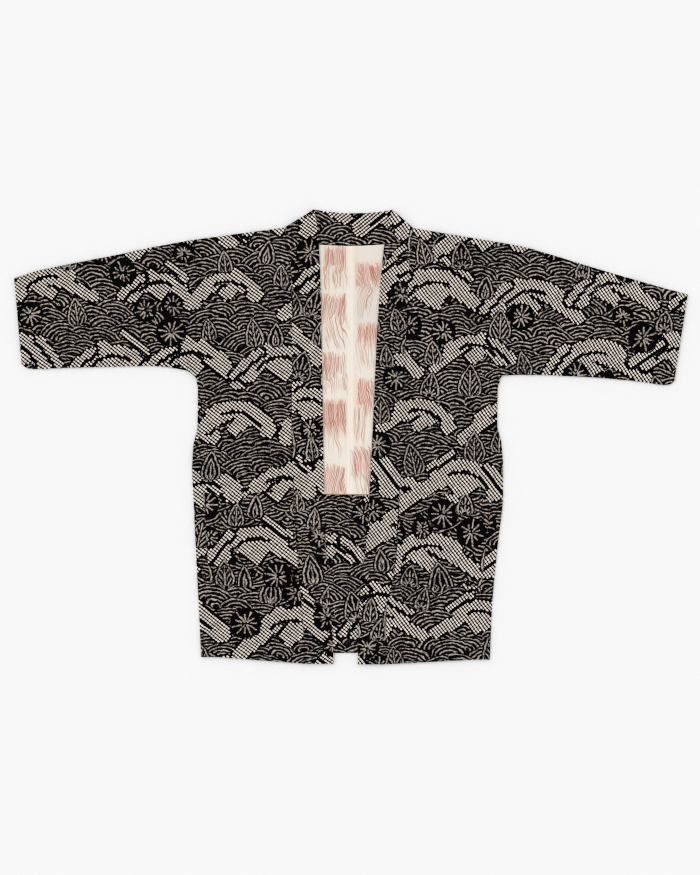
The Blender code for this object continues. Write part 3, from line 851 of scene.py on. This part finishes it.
def thin_cloth(name, middle, thickness, fields, wraps=False, outside=1, strips=1):
    """Makes the mesh: skins at middle + and - normal * thickness / 2, their rims, fields and map.
    outside says which of the two skins is the cloth's right side, and so the larger on the map."""
    normal = point_normals(middle, wraps)
    skins = [middle + normal * side * thickness / 2 for side in (1, -1)]
    rows, columns = middle.shape[:2]
    index = np.arange(rows * columns).reshape(rows, columns)
    if wraps:
        index = np.column_stack([index, index[:, 0]])
    other = index + rows * columns
    rims = [np.stack([a, b, d, c], axis=-1)
            for (a, b), (c, d) in zip(edge_pairs(index, wraps), edge_pairs(other, wraps))]
    faces = [corners(index).reshape(-1, 4), corners(other)[:, :, REVERSED].reshape(-1, 4), *rims]
    mesh = bpy.data.meshes.new(name)
    points = np.concatenate(skins).reshape(-1, 3) * MM
    mesh.from_pydata(points.tolist(), [], np.concatenate(faces).tolist())
    store(mesh, fields, wraps)
    lengths = np.linalg.norm(np.diff(middle, axis=0), axis=2).mean(axis=1)
    lay_map(mesh, lengths, index.shape[1] - 1, sum(map(len, rims)), outside, strips)
    mesh.shade_smooth()
    mesh.set_sharp_from_angle(angle=SHARP_FOLD)
    mesh.update()
    cloth = bpy.data.objects.new(name, mesh)
    bpy.context.scene.collection.objects.link(cloth)
    print(f"{name}: {2 * len(mesh.polygons)} triangles, {flat_area(cloth):.4f} m2 of cloth")
    return cloth


def flat_area(cloth):
    """Half of a closed wall's surface, in square metres, which is the cloth's own area."""
    areas = np.empty(len(cloth.data.polygons), np.float32)
    cloth.data.polygons.foreach_get("area", areas)
    return float(areas.sum()) / 2


# %% [markdown]
# ## Shader maths
# A finish is arithmetic on the places of the cloth. Wiring each Math node by hand hides the
# thought, so a small class lets us write ordinary expressions: each operator adds its node.
# Every other node comes from one method that takes the node's type, its settings and its sockets.

# %% Numbers and nodes
def operator(kind, swapped=False):
    """A method that adds one Math node. swapped puts this number second, as in 1 - number."""

    def method(self, *others):
        values = (*others, self) if swapped else (self, *others)
        return self.finish.math(kind, *values)

    return method


class Number:
    """A number that runs through a finish. Its operators add Math nodes. over is 1 where this number is
    the greater, and 0 elsewhere."""

    def __init__(self, finish, socket):
        self.finish = finish
        self.socket = socket

    __add__ = __radd__ = operator("ADD")
    __sub__, __rsub__ = operator("SUBTRACT"), operator("SUBTRACT", swapped=True)
    __mul__, __truediv__ = operator("MULTIPLY"), operator("DIVIDE")
    __pow__, __abs__ = operator("POWER"), operator("ABSOLUTE")
    over = operator("GREATER_THAN")
    floor, fract = operator("FLOOR"), operator("FRACT")
    larger, smaller = operator("MAXIMUM"), operator("MINIMUM")

    def edge(self, softness):
        """From 0 to 1 as this number passes nought, over that width."""
        return self.finish.math("MULTIPLY_ADD", self, 1 / softness, 0.5, clamp=True)


class Finish:
    """The node tree of one material."""

    def __init__(self, name):
        self.material = bpy.data.materials.new(name)
        self.material.use_nodes = True
        self.tree = self.material.node_tree
        self.tree.nodes.clear()

    def node(self, kind, settings=None, sockets=None):
        made = self.tree.nodes.new("ShaderNode" + kind)
        for name, value in (settings or {}).items():
            setattr(made, name, value)
        for name, value in (sockets or {}).items():
            value = value.socket if isinstance(value, Number) else value
            if isinstance(value, bpy.types.NodeSocket):
                self.tree.links.new(value, made.inputs[name])
            else:
                made.inputs[name].default_value = value
        return made

    def math(self, operation, *values, clamp=False):
        settings = {"operation": operation, "use_clamp": clamp}
        return Number(self, self.node("Math", settings, dict(enumerate(values))).outputs[0])

    def stored(self, name):
        """The three numbers of a field that thin_cloth stored on the mesh."""
        return self.split(self.node("Attribute", {"attribute_name": name}).outputs["Vector"])

    def split(self, vector):
        parts = self.node("SeparateXYZ", None, {0: vector}).outputs
        return [Number(self, parts[i]) for i in range(3)]

    def joined(self, x, y, z=0.0):
        return self.node("CombineXYZ", None, {0: x, 1: y, 2: z}).outputs[0]

    def drift(self, place, wavelength, detail=1.0):
        """Three smooth noises, about -1 to 1, that wander over the given length."""
        noise = self.node("TexNoise", None, {"Vector": place, "Scale": 1 / wavelength, "Detail": detail})
        return [(channel - 0.5) * 2.6 for channel in self.split(noise.outputs["Color"])]

    def chance(self, *cell):
        """Three even random numbers, 0 to 1, that belong to a cell."""
        white = self.node("TexWhiteNoise", {"noise_dimensions": "3D"}, {"Vector": self.joined(*cell)})
        return self.split(white.outputs["Color"])

    def blend(self, share, first, second):
        """A colour between first and second, by share."""
        settings = {"data_type": "RGBA"}
        return self.node("Mix", settings, {0: share, 6: first, 7: second}).outputs[2]

    def surface(self, colour, roughness, mirrored, relief=None, strength=0.5, depth=0.5):
        """Ends the finish and gives its material. relief is from 0 to 1, and depth its height."""
        sockets = {"Base Color": colour, "Roughness": roughness, "Specular IOR Level": mirrored}
        if relief is not None:
            raised = {"Strength": strength, "Distance": depth * MM, "Height": relief}
            sockets["Normal"] = self.node("Bump", None, raised).outputs[0]
        shader = self.node("BsdfPrincipled", None, sockets)
        self.node("OutputMaterial", None, {"Surface": shader.outputs[0]})
        print(self.material.name + ":", len(self.tree.nodes), "nodes")
        return self.material


def ink(red, green, blue):
    """A colour given on a 0 to 255 scale, as the light that it reflects."""
    linear = [((c / 255 + 0.055) / 1.055) ** 2.4 if c > 10 else c / 255 / 12.92 for c in (red, green, blue)]
    return (*linear, 1.0)


print("a middle grey reflects", round(ink(128, 128, 128)[0], 3), "of the light")

# %% [markdown]
# ## The kanoko finish
# Kanoko is the tied dash: a white point about 4.8 mm long in a square grid of 5.4 mm, set
# slantwise on the cloth. The finish finds the grid cell that a place is in, asks whether that
# cell's middle lies in the white, and draws the whole dash or none of it. The fans are arcs round
# scattered middles, where the lowest row lies in front, as waves are drawn. A leaf has an outline,
# a midrib and slanted veins, a palm leaf has rays from its base, and a nut has a ring and rays
# inside its outline. The same masks raise the cloth a little, because each knot puckers it.

# %% White dashes
DASH_SLANT = radians(-40)
DASH_PITCH = 5.4
DASH_LONG, DASH_SHORT = 2.42, 1.72  # half sizes
DASH_OVERHANG = 0.3  # a dash shows if its middle is less than this outside the white


def dashes(finish, u, v, white, dash_turn):
    """Mask of the dashes. In a cell of the slanted grid the dash is |s/long|^2.5 + |t/short|^2.5 < 1, and
    it shows if its middle is in the white, or nearly: the depth here less the slope times the way."""
    depth, slope_u, slope_v = white
    slant = dash_turn + DASH_SLANT
    c, s = finish.math("COSINE", slant), finish.math("SINE", slant)
    along = (u * c + v * s) / DASH_PITCH
    across = (v * c - u * s) / DASH_PITCH
    off_along = (along.fract() - 0.5) * DASH_PITCH
    off_across = (across.fract() - 0.5) * DASH_PITCH
    off_u = off_along * c - off_across * s
    off_v = off_along * s + off_across * c
    middle_depth = depth - slope_u * off_u - slope_v * off_v
    tone, size, _ = finish.chance(along.floor(), across.floor(), 3.0)
    roundness = (abs(off_along) / DASH_LONG) ** 2.5 + (abs(off_across) / DASH_SHORT) ** 2.5
    dash = (0.88 + size * 0.3 - roundness).edge(0.5)
    return dash * middle_depth.over(-DASH_OVERHANG), tone


# %% Fans of waves
FAN_PITCH, FAN_ROW, FAN_RADIUS, FAN_SQUASH = 62.0, 17.0, 34.0, 0.72
ARC_PITCH, ARC_HALF_WIDTH = 6.5, 1.12
ARCS = 5.4  # arcs in a fan, before its middle is left black


def fans(finish, u, v, swell):
    """Arcs inside the upper halves of overlapping discs, FAN_ROW apart. Each lower row lies in front."""
    row_here = (v / FAN_ROW).floor()
    arcs = None
    for step in (1, 0, -1, -2):
        row = row_here + float(step)
        column = (u / FAN_PITCH + row * 0.5).floor()
        shift, rise, size = finish.chance(column, row, 7.0)
        middle_u = (column + 0.3 + shift * 0.4 - row * 0.5) * FAN_PITCH
        middle_v = (row - 0.4 + rise * 0.8) * FAN_ROW
        radius = (0.78 + size * 0.4) * FAN_RADIUS
        lean = (shift - 0.5) * 0.5
        wide, tall = (u - middle_u) * FAN_SQUASH, v - middle_v - (u - middle_u) * lean
        inside = (radius - (wide * wide + tall * tall) ** 0.5) / ARC_PITCH
        shown = inside.over(0.0) * tall.over(-2.0)
        here = inside * shown - (1 - shown)
        arcs = here if arcs is None else here * shown + arcs * (1 - shown)
    from_arc = abs(arcs.fract() - 0.6) * ARC_PITCH
    return (ARC_HALF_WIDTH + swell - from_arc).edge(0.8) * arcs.over(0.0) * (1 - arcs.over(ARCS))


# %% Leaves, palm leaves and bursts
VEIN_PITCH, VEIN_RISE = 12.6, 1.6
LINE_HALF_WIDTH = 1.35
NUT_RING = 8.6  # how far inside the outline
PALM_RAYS, BURST_RAYS = 11.0, 11.0  # in a full turn. A palm leaf has twice as many beyond its middle


def ray_mask(finish, across, along, rays, number):
    """Rays from the place where across and along are nought, and a random length for each."""
    bearing = finish.math("ARCTAN2", across, along) * (rays / (2 * pi))
    reach = (across * across + along * along) ** 0.5
    off_ray = abs((bearing + 0.5).fract() - 0.5) * reach * (2 * pi / rays)
    length = finish.chance((bearing + 0.5).floor(), number, rays)[0]
    return (LINE_HALF_WIDTH - off_ray).edge(0.8), reach, length


def motif_lines(finish, across, along, size, kind):
    """The lines of each kind of motif, chosen by kind: a leaf's outline, midrib and slanted veins, a palm
    leaf's outline and rays from its base, a burst's rays of uneven length, and a nut's outline with a
    ring and rays inside."""
    long, wide = size
    share = (along / long).larger(0.0).smaller(1.0)
    half = leaf_half_width(share, wide)
    off_middle = abs(across)
    inside = (half - off_middle) * 0.86
    outline = (LINE_HALF_WIDTH - abs(inside - 1.3)).edge(0.8)
    midrib = (LINE_HALF_WIDTH - off_middle).edge(0.8) * (0.82 - share).over(0.0)
    vein = abs(((along - off_middle * VEIN_RISE) / VEIN_PITCH).fract() - 0.5) * VEIN_PITCH * 0.53
    veins = (LINE_HALF_WIDTH - vein).edge(0.8) * inside.over(4.6) * off_middle.over(3.4)
    leaf = outline.larger(midrib).larger(veins) * inside.over(-0.2)
    number = (long * 3.7 + wide).floor()
    few, reach, _ = ray_mask(finish, across, along - 2.0, PALM_RAYS, number)
    many, _, length = ray_mask(finish, across, along - 2.0, PALM_RAYS * 2, number)
    stems = few * reach.over(4.0) * (15.0 - reach).over(0.0)
    blades = many * reach.over(18.0) * (long * (0.66 + length * 0.3) - reach).over(0.0)
    palm = outline.larger((stems + blades) * inside.over(4.4)) * inside.over(-0.2)
    ring = (LINE_HALF_WIDTH - abs(inside - NUT_RING)).edge(0.8)
    nut = outline.larger(ring).larger(few * inside.over(NUT_RING + 3.4)) * inside.over(-0.2)
    spikes, reach, length = ray_mask(finish, across, along, BURST_RAYS, number)
    first = 2.5 + (length * 17.0).fract().over(0.6) * 6.0
    burst = spikes * reach.over(first) * (long * (0.26 + length * 0.24) - reach).over(0.0)
    is_leaf, past_palm, is_nut = 1 - kind.over(1.5), kind.over(2.5), kind.over(3.5)
    return leaf * is_leaf + palm * (1 - is_leaf - past_palm) + burst * (past_palm - is_nut) + nut * is_nut


# %% Kanoko silk
BLACK = ink(3, 2, 3)
BLACK_WORN = ink(17, 14, 15)
WHITE = ink(252, 241, 229)
GREY_BROWN = ink(194, 182, 172)
WHITE_CLEARANCE = 3.4  # black kept between a dash's middle and the nearest arc


def kanoko_silk():
    finish = Finish("kanoko silk")
    u, v, motif_depth = finish.stored("cloth")
    white = finish.stored("white")
    across, along, kind = finish.stored("motif")
    long, wide, dash_turn = finish.stored("motif_size")
    place = finish.joined(u, v)
    pull_u, pull_v, fade = finish.drift(place, 36.0)
    jitter_u, jitter_v, _ = finish.drift(place, 7.0)
    dash_u, dash_v = u + pull_u * 1.4 + jitter_u * 0.6, v + pull_v * 1.4 + jitter_v * 0.6
    dash, tone = dashes(finish, dash_u, dash_v, white, dash_turn)
    sway_u, sway_v, broken = finish.drift(place, 80.0, 2.0)
    wobble_u, wobble_v, thin = finish.drift(place, 8.0)
    swell = (thin * 1.5).smaller(0.25)
    waves = fans(finish, u + sway_u * 9.0 + wobble_u * 1.6, v + sway_v * 8.0 + wobble_v * 1.6, swell)
    motifs = motif_lines(finish, across + wobble_u * 2.0, along + wobble_v * 2.0, (long, wide), kind)
    in_motif = motif_depth.over(-1.0)
    clear = (1 - motif_depth.over(-MOTIF_RING)) * (1 - white[0].over(-WHITE_CLEARANCE))
    line = motifs * in_motif + waves * clear
    threads, dab, _ = finish.drift(place, 3.0)
    line_tone = (0.66 + dab * 1.0 + broken * 0.3).larger(0.08).smaller(1.0)
    dash_tone = (0.70 + tone * 0.20 + fade * 0.08 + threads * 0.14).smaller(1.0)
    ground = finish.blend(0.3 + threads * 0.5, BLACK, BLACK_WORN)
    with_lines = finish.blend(line * line_tone, ground, GREY_BROWN)
    colour = finish.blend(dash * dash_tone, with_lines, WHITE)
    relief = dash * 0.8 + line * 0.55 + threads * 0.08
    return finish.surface(colour, 0.84 - dash * 0.10, 0.02, relief)


KANOKO = kanoko_silk()

# %% [markdown]
# ## The lining
# The lining is smooth cream silk with a brushed print: strokes of salmon pink in loose blocks,
# some strong and some faint, with bare silk between. A block is a field of how much ink there is,
# which rises from each end. Every stroke has its own threshold, and shows where the ink
# passes it, so the ends of a block come out ragged, as a dry brush leaves them. The blocks are
# read in turn from two layers, so that where two overlap both are printed.

# %% Brushed blocks
Brush = namedtuple("Brush", "left right top bottom strength lean wash")
PRINT_WIDTH = 60.0  # the print repeats across each panel
TOP_RUN, SIDE_RUN = 16.0, 6.0  # over what length a block fades at its top and its sides
BOTTOM_RUN = 0.42  # the share of its height over which it fades at the bottom
NEXT_BLOCK = 400.0  # how far apart the blocks read their strokes
PRINT_TOP, PRINT_BOTTOM = 372.0, -110.0
UNDER_STRONG, UNDER_FAINT = 0.62, 0.9  # how far down a block the next one starts


def brushed_blocks(seed):
    """Blocks from the top of the lining down, strong and faint by turns, each partly over the one above.
    left and right are distances from the centre seam."""
    draw = np.random.default_rng(seed)
    blocks, top = [], PRINT_TOP - draw.uniform(0, 40)
    while top > PRINT_BOTTOM:
        high = draw.uniform(54, 88)
        strong = len(blocks) % 2 == 0
        strength = draw.uniform(0.86, 1.0) if strong else draw.uniform(0.42, 0.66)
        blocks.append(Brush(draw.uniform(0, 12), draw.uniform(50, 60), top, top - high, strength,
                            draw.uniform(-14, 14), draw.choice([0, 0.1, 0.2, 0.7]) if strong else 0))
        top -= high * (UNDER_STRONG if strong else UNDER_FAINT)
    return blocks


PRINT = {"left": brushed_blocks(3), "right": brushed_blocks(9)}
print("brushed blocks:", {name: len(blocks) for name, blocks in PRINT.items()})

WARM_PATCHES = {"left": [], "right": [(1, 15, 372, 290, 0.28), (2, 12, 120, 6, 0.4)]}
BARE_PATCHES = {"left": [], "right": [(7, 60, 306, 210, 1.0), (2, 40, -66, -84, 0.7)]}


def soft_box(from_seam, y, left, right, top, bottom, side_run, top_run, bottom_run):
    """1 inside the box and 0 outside, rising over a length of its own at the sides and each end."""
    side = np.clip(np.minimum(from_seam - left, right - from_seam) / side_run + 0.5, 0, 1)
    end = np.clip(np.minimum((y - bottom) / bottom_run, (top - y) / top_run), 0, 1)
    return np.minimum(side, end)


def patches_at(from_seam, y, patches):
    """The strongest of some patches: left, right, top, bottom and strength."""
    here = np.zeros(y.shape)
    for *box, strength in patches:
        here = np.maximum(here, strength * soft_box(from_seam, y, *box, 3.0, 3.0, 3.0))
    return here


def print_fields(x, y, half):
    """The place on the silk and how near its top or bottom edge is. The blocks alternate between two
    layers, so that those that overlap both show. Of a layer's strongest block: the place across and
    along its strokes, and its ink. Last come the wash of colour, how warm and how bare the silk is.
    Rows of points run from the top edge to the bottom."""
    from_seam = np.abs(x) % PRINT_WIDTH
    layers = [[np.zeros(x.shape) for _ in range(3)] for _ in range(2)]
    wash = np.zeros(x.shape)
    for i, block in enumerate(PRINT[half.name]):
        bottom_run = BOTTOM_RUN * (block.top - block.bottom)
        share = soft_box(from_seam, y, *block[:4], SIDE_RUN, TOP_RUN, bottom_run)
        c, s = cos(radians(block.lean)), sin(radians(block.lean))
        from_middle = y - (block.top + block.bottom) / 2
        across, along, ink_here = layers[i % 2]
        chosen = block.strength * share > ink_here
        layers[i % 2] = [
            np.where(chosen, x * c + from_middle * s + (i + 1) * NEXT_BLOCK, across),
            np.where(chosen, from_middle * c - x * s, along),
            np.maximum(ink_here, block.strength * share),
        ]
        wash = np.maximum(wash, block.wash * share)
    warm = patches_at(from_seam, y, WARM_PATCHES[half.name])
    bare = patches_at(from_seam, y, BARE_PATCHES[half.name])
    edge = np.minimum(y[:1] - y, y - y[-1:])
    return {
        "silk": np.stack([x, y, edge], axis=-1),
        "print": np.stack(layers[0], axis=-1),
        "print_over": np.stack(layers[1], axis=-1),
        "print_more": np.stack([wash, warm, bare], axis=-1),
    }


# %% Printed silk
SILK = ink(250, 241, 229)
SILK_SHADE = ink(232, 222, 210)
BARE = ink(234, 226, 218)
SALMON = ink(214, 130, 106)
RED_BROWN = ink(150, 78, 60)
FAINT = ink(204, 166, 144)
WASH = ink(230, 164, 136)
WARM = ink(250, 220, 192)
SEAM_LIGHT = ink(255, 245, 232)
# painted shade: a tan tint that stands in for the shade along the lining's folded top and bottom edges
PAINTED_FOLD_SHADE = ink(196, 152, 118)
SEAM_HALF_WIDTH = 5.5
BROAD, NARROW = 4.3, 2.7  # from one brush stroke to the next


def brush_strokes(finish, across, along, ink_here, width):
    """How strongly strokes of one width show. Each stroke is a column with its own threshold, width and
    wander, and dry streaks run along it."""
    place = finish.joined(across, along * 0.5, width)
    sway = finish.drift(place, 22.0)[0]
    column = across / width + sway * 1.9
    late, thick, tint = finish.chance(column.floor(), 1.0, width)
    off_middle = abs(column.fract() - 0.5)
    side = (0.15 + thick * 0.25 - off_middle).edge(0.16)
    shown = (ink_here - 0.10 - late * 0.78).edge(0.14)
    dry = finish.drift(finish.joined(across, along * 0.07, 3.0), 1.5)[0]
    return side * shown * (0.82 + dry * 0.6).larger(0.0).smaller(1.0), tint


def printed_silk():
    finish = Finish("printed lining silk")
    x, y, edge = finish.stored("silk")
    wash, warm, bare = finish.stored("print_more")
    weave = finish.drift(finish.joined(x, y * 0.3, 4.0), 0.7)[0]
    cloud, veil, _ = finish.drift(finish.joined(x, y, 2.0), 50.0)
    colour = finish.blend((0.30 + cloud * 0.4 + weave * 0.12 + y * 0.0008), SILK, SILK_SHADE)
    colour = finish.blend(bare * 0.9, colour, BARE)
    colour = finish.blend(warm, colour, WARM)
    colour = finish.blend(wash * (0.66 + veil * 0.5), colour, WASH)
    for layer in ("print", "print_over"):
        across, along, ink_here = finish.stored(layer)
        strong = (ink_here * 1.7 - 0.55).larger(0.0).smaller(1.0)
        broad, tint = brush_strokes(finish, across, along, ink_here, BROAD)
        colour = finish.blend(broad * (0.46 + tint * 0.54), colour, finish.blend(strong, FAINT, SALMON))
        narrow, tint = brush_strokes(finish, across + 150.0, along, ink_here * 0.9, NARROW)
        darker = finish.blend(strong * 0.8 + 0.2, FAINT, RED_BROWN)
        colour = finish.blend(narrow * (0.20 + tint * 0.60), colour, darker)
    off_seam = abs(x + 1.5)
    allowance = (SEAM_HALF_WIDTH - off_seam).edge(4.0)
    colour = finish.blend(allowance * (0.60 + cloud * 0.3) * (1 - wash * 0.7), colour, SEAM_LIGHT)
    # painted shade: a tan line up to about 1.6 mm in from the folded top and bottom edges
    colour = finish.blend((1.6 - edge).edge(1.2) * 0.8, colour, PAINTED_FOLD_SHADE)
    relief = weave * 0.25 + allowance * 0.3 + (3.0 - edge).edge(2.0) * 0.4
    return finish.surface(colour, 0.48 + broad * 0.10, 0.3, relief, strength=0.35, depth=0.4)


PRINTED = printed_silk()

# %% [markdown]
# ## Make the pieces
# Each stretch of cloth reads the design where it lies. The body's strip starts the design again
# at each fold: the front and the facing read it where they are, and the back reads the next run
# of the same bolt. A sleeve's underside does the same past its lower fold. The collar has hills
# of its own up each front. Past the shoulder it has turned over and shows another run of the
# cloth. The pockets were cut the other way up.

# %% Places on the design
BOLT_RUN = 805.0  # how far along the bolt the back is cut from the front
SLEEVE_RUN = 250.0
DASH_TURN = {"left": 2.0, "right": -13.0}  # how far the rows of dashes are turned on each half
SLEEVE_DASH_TURN = {"left": 3.0, "right": -16.0}
NECK_DASH_TURN = 78.0


def fields_at(places, dash_turn, shapes=GARMENT_HILLS, motifs=GARMENT_MOTIFS, turn=0.0):
    """The design at a run of points, spread to the corners of the run's cells."""
    fields = design_fields(places[..., 0], places[..., 1], shapes, motifs, turn, dash_turn)
    return {name: corners(values) for name, values in fields.items()}


def joined_fields(runs, axis=0):
    return {name: np.concatenate([run[name] for run in runs], axis=axis) for name in runs[0]}


def body_strip(half):
    stretches = body_stretches(half)
    facing, hem, _, shoulder, front = stretches
    whole = np.concatenate(stretches)
    hem_row = len(facing) + len(hem) // 2
    shoulder_row = len(whole) - len(front) - len(shoulder) // 2
    back_run = whole[hem_row:shoulder_row + 1, :, :2].copy()
    back_run[..., 1] = 2 * half.side[0].y - back_run[..., 1] - BOLT_RUN
    runs = [whole[:hem_row + 1], back_run, whole[shoulder_row:]]
    fields = joined_fields([fields_at(run, DASH_TURN[half.name]) for run in runs])
    return thin_cloth(f"body_{half.name}_cloth", whole, CLOTH, fields, outside=-half.way, strips=3)


def sleeve(half):
    middle = sleeve_tube(half)
    places = np.concatenate([middle, middle[:, :1]], axis=1)[..., :2]
    fold = SLEEVE_CELLS + FOLD_CELLS // 2
    top = places.shape[1] - FOLD_CELLS // 2
    under = places[:, fold:top + 1].copy()
    under[..., 1] = 2 * places[:, fold, None, 1] - under[..., 1] + SLEEVE_RUN
    turn = SLEEVE_DASH_TURN[half.name]
    runs = [fields_at(run, turn) for run in (places[:, :fold + 1], under, places[:, top:])]
    fields = joined_fields(runs, axis=1)
    return thin_cloth(f"sleeve_{half.name}_cloth", middle, CLOTH, fields, wraps=True, outside=-half.way)


def gusset(half):
    middle = gusset_strip(half)
    fields = fields_at(middle, DASH_TURN[half.name])
    return thin_cloth(f"gusset_{half.name}_cloth", middle, CLOTH, fields, outside=half.way, strips=3)


def pocket(half):
    middle = pocket_patch(half)
    fields = fields_at(middle, DASH_TURN[half.name], POCKET_HILLS, POCKET_MOTIFS, 180.0)
    return thin_cloth(f"pocket_{half.name}_cloth", middle, CLOTH, fields, outside=-half.way)


def lining(half):
    middle = lining_panel(half)
    x, y = middle[..., 0], middle[..., 1]
    fields = {name: corners(values) for name, values in print_fields(x, y, half).items()}
    return thin_cloth(f"lining_{half.name}_silk", middle, LINING, fields, outside=-half.way)


def collar_run(half):
    """One half of the band and what its points read. Past the shoulder the band has turned over, so
    it shows another run of the cloth, whose rows of dashes slant the other way."""
    rows = np.concatenate(collar_half(half))
    fold = len(rows) - NECK_CELLS - FOLD_CELLS // 2 - 1
    runs = [fields_at(rows[:fold + 1], DASH_TURN[half.name], COLLAR_HILLS, COLLAR_MOTIFS),
            fields_at(rows[fold:], NECK_DASH_TURN, NECK_HILLS, [])]
    return rows, runs


def collar():
    """Both halves of the band as one cloth, from the left hem round the neck to the right hem."""
    left, left_runs = collar_run(LEFT)
    right, right_runs = collar_run(RIGHT)
    back_again = {name: cells[::-1][:, :, [1, 0, 3, 2]] for name, cells in joined_fields(right_runs).items()}
    fields = joined_fields([*left_runs, back_again])
    middle = np.concatenate([left, right[-2::-1]])
    return thin_cloth("collar_band", middle, COLLAR, fields, outside=-1, strips=5)


pieces = {}
for half in (LEFT, RIGHT):
    pieces[f"body_{half.name}"] = body_strip(half)
    pieces[f"sleeve_{half.name}"] = sleeve(half)
    pieces[f"gusset_{half.name}"] = gusset(half)
    pieces[f"pocket_{half.name}"] = pocket(half)
    pieces[f"lining_{half.name}"] = lining(half)
pieces["collar"] = collar()
print("triangles in all:", sum(2 * len(piece.data.polygons) for piece in pieces.values()))

# %% [markdown]
# ## Dress the model
# Each cloth stands for one solid of the frame, which it hides, and is listed with the size it was cut
# to: its width and length, and its real flat area, because a haori's panels are tapered. The outer
# cloth is one kanoko silk throughout, and the two lining panels are printed silk.

Sheet = namedtuple("Sheet", "width length rests_on")
SHEETS = {
    "body_left": Sheet(0.310, 1.964, ["floor"]),
    "body_right": Sheet(0.290, 1.957, ["floor"]),
    "sleeve_left": Sheet(0.496, 0.336, ["floor"]),
    "sleeve_right": Sheet(0.506, 0.366, ["floor"]),
    "gusset_left": Sheet(0.056, 0.526, ["floor"]),
    "gusset_right": Sheet(0.056, 0.532, ["floor"]),
    "collar": Sheet(0.071, 1.931, ["body_left", "body_right"]),
    "pocket_left": Sheet(0.170, 0.183, ["body_left"]),
    "pocket_right": Sheet(0.173, 0.180, ["body_right"]),
    "lining_left": Sheet(0.305, 0.504, ["body_left"]),
    "lining_right": Sheet(0.285, 0.504, ["body_right"]),
}
for node, piece in pieces.items():
    sheet = SHEETS[node]
    is_lining = node.startswith("lining")
    piece.data.materials.append(PRINTED if is_lining else KANOKO)
    area = round(min(flat_area(piece), sheet.width * sheet.length), 4)
    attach(piece, "root")
    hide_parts(node)
    print(f"{node}: cut {sheet.width} x {sheet.length} m, flat area {area} m2")

# %% [markdown]
# ## Table, light and camera
# The haori lies on a plain white table. One large soft light stands to the upper left, so that
# folds read without hard shadows, and an even white surround fills the rest. The camera looks
# straight down from three metres with a long lens, as a copy stand would hold it.

# %% Table
TABLE_Z = -0.35 * MM
TABLE_HALF = 24.0
table = bpy.data.meshes.new("floor")
table_corners = [(-TABLE_HALF, -TABLE_HALF), (TABLE_HALF, -TABLE_HALF), (TABLE_HALF, TABLE_HALF),
                 (-TABLE_HALF, TABLE_HALF)]
table.from_pydata([(x, y, TABLE_Z) for x, y in table_corners], [], [(0, 1, 2, 3)])
floor = bpy.data.objects.new("floor", table)
bpy.context.scene.collection.objects.link(floor)
table.materials.append(Finish("white table").surface(ink(254, 254, 254), 0.9, 0.1))

# %% Lights
scene = bpy.context.scene
SURROUND = 0.81
WINDOW = 0.55
surround = bpy.data.worlds.new("surround")
scene.world = surround
surround.use_nodes = True
surround.node_tree.nodes["Background"].inputs["Color"].default_value = (1.0, 1.0, 1.0, 1.0)
surround.node_tree.nodes["Background"].inputs["Strength"].default_value = SURROUND

window_data = bpy.data.lights.new("window", "SUN")
window_data.energy = WINDOW
window_data.angle = radians(36)
window = bpy.data.objects.new("window", window_data)
window_from = Vector((-1.6, 1.5, 2.8))
window.location = window_from
window.rotation_euler = (-window_from).to_track_quat("-Z", "Y").to_euler()
scene.collection.objects.link(window)
print("surround", SURROUND, "and a broad window light of", WINDOW)

# %% Camera
FRAME_WIDTH = 1330 * MM  # what the view covers from side to side
FRAME_MIDDLE = (-1.9 * MM, -1.1 * MM)
LENS, SENSOR = 85.0, 36.0
TABLE_TO_CLOTH = 5 * MM  # the height at which the width above is true
camera_data = bpy.data.cameras.new("copy stand")
camera_data.lens = LENS
camera_data.sensor_width = SENSOR
camera_data.sensor_fit = "HORIZONTAL"
camera = bpy.data.objects.new("copy stand", camera_data)
camera_height = FRAME_WIDTH * LENS / SENSOR + TABLE_TO_CLOTH
camera.location = (*FRAME_MIDDLE, camera_height)
scene.collection.objects.link(camera)
scene.camera = camera
scene.cycles.filter_width = 1.15
scene.cycles.use_denoising = False
scene.view_settings.view_transform = "Standard"
print("camera", round(camera_height, 3), "m above the table")
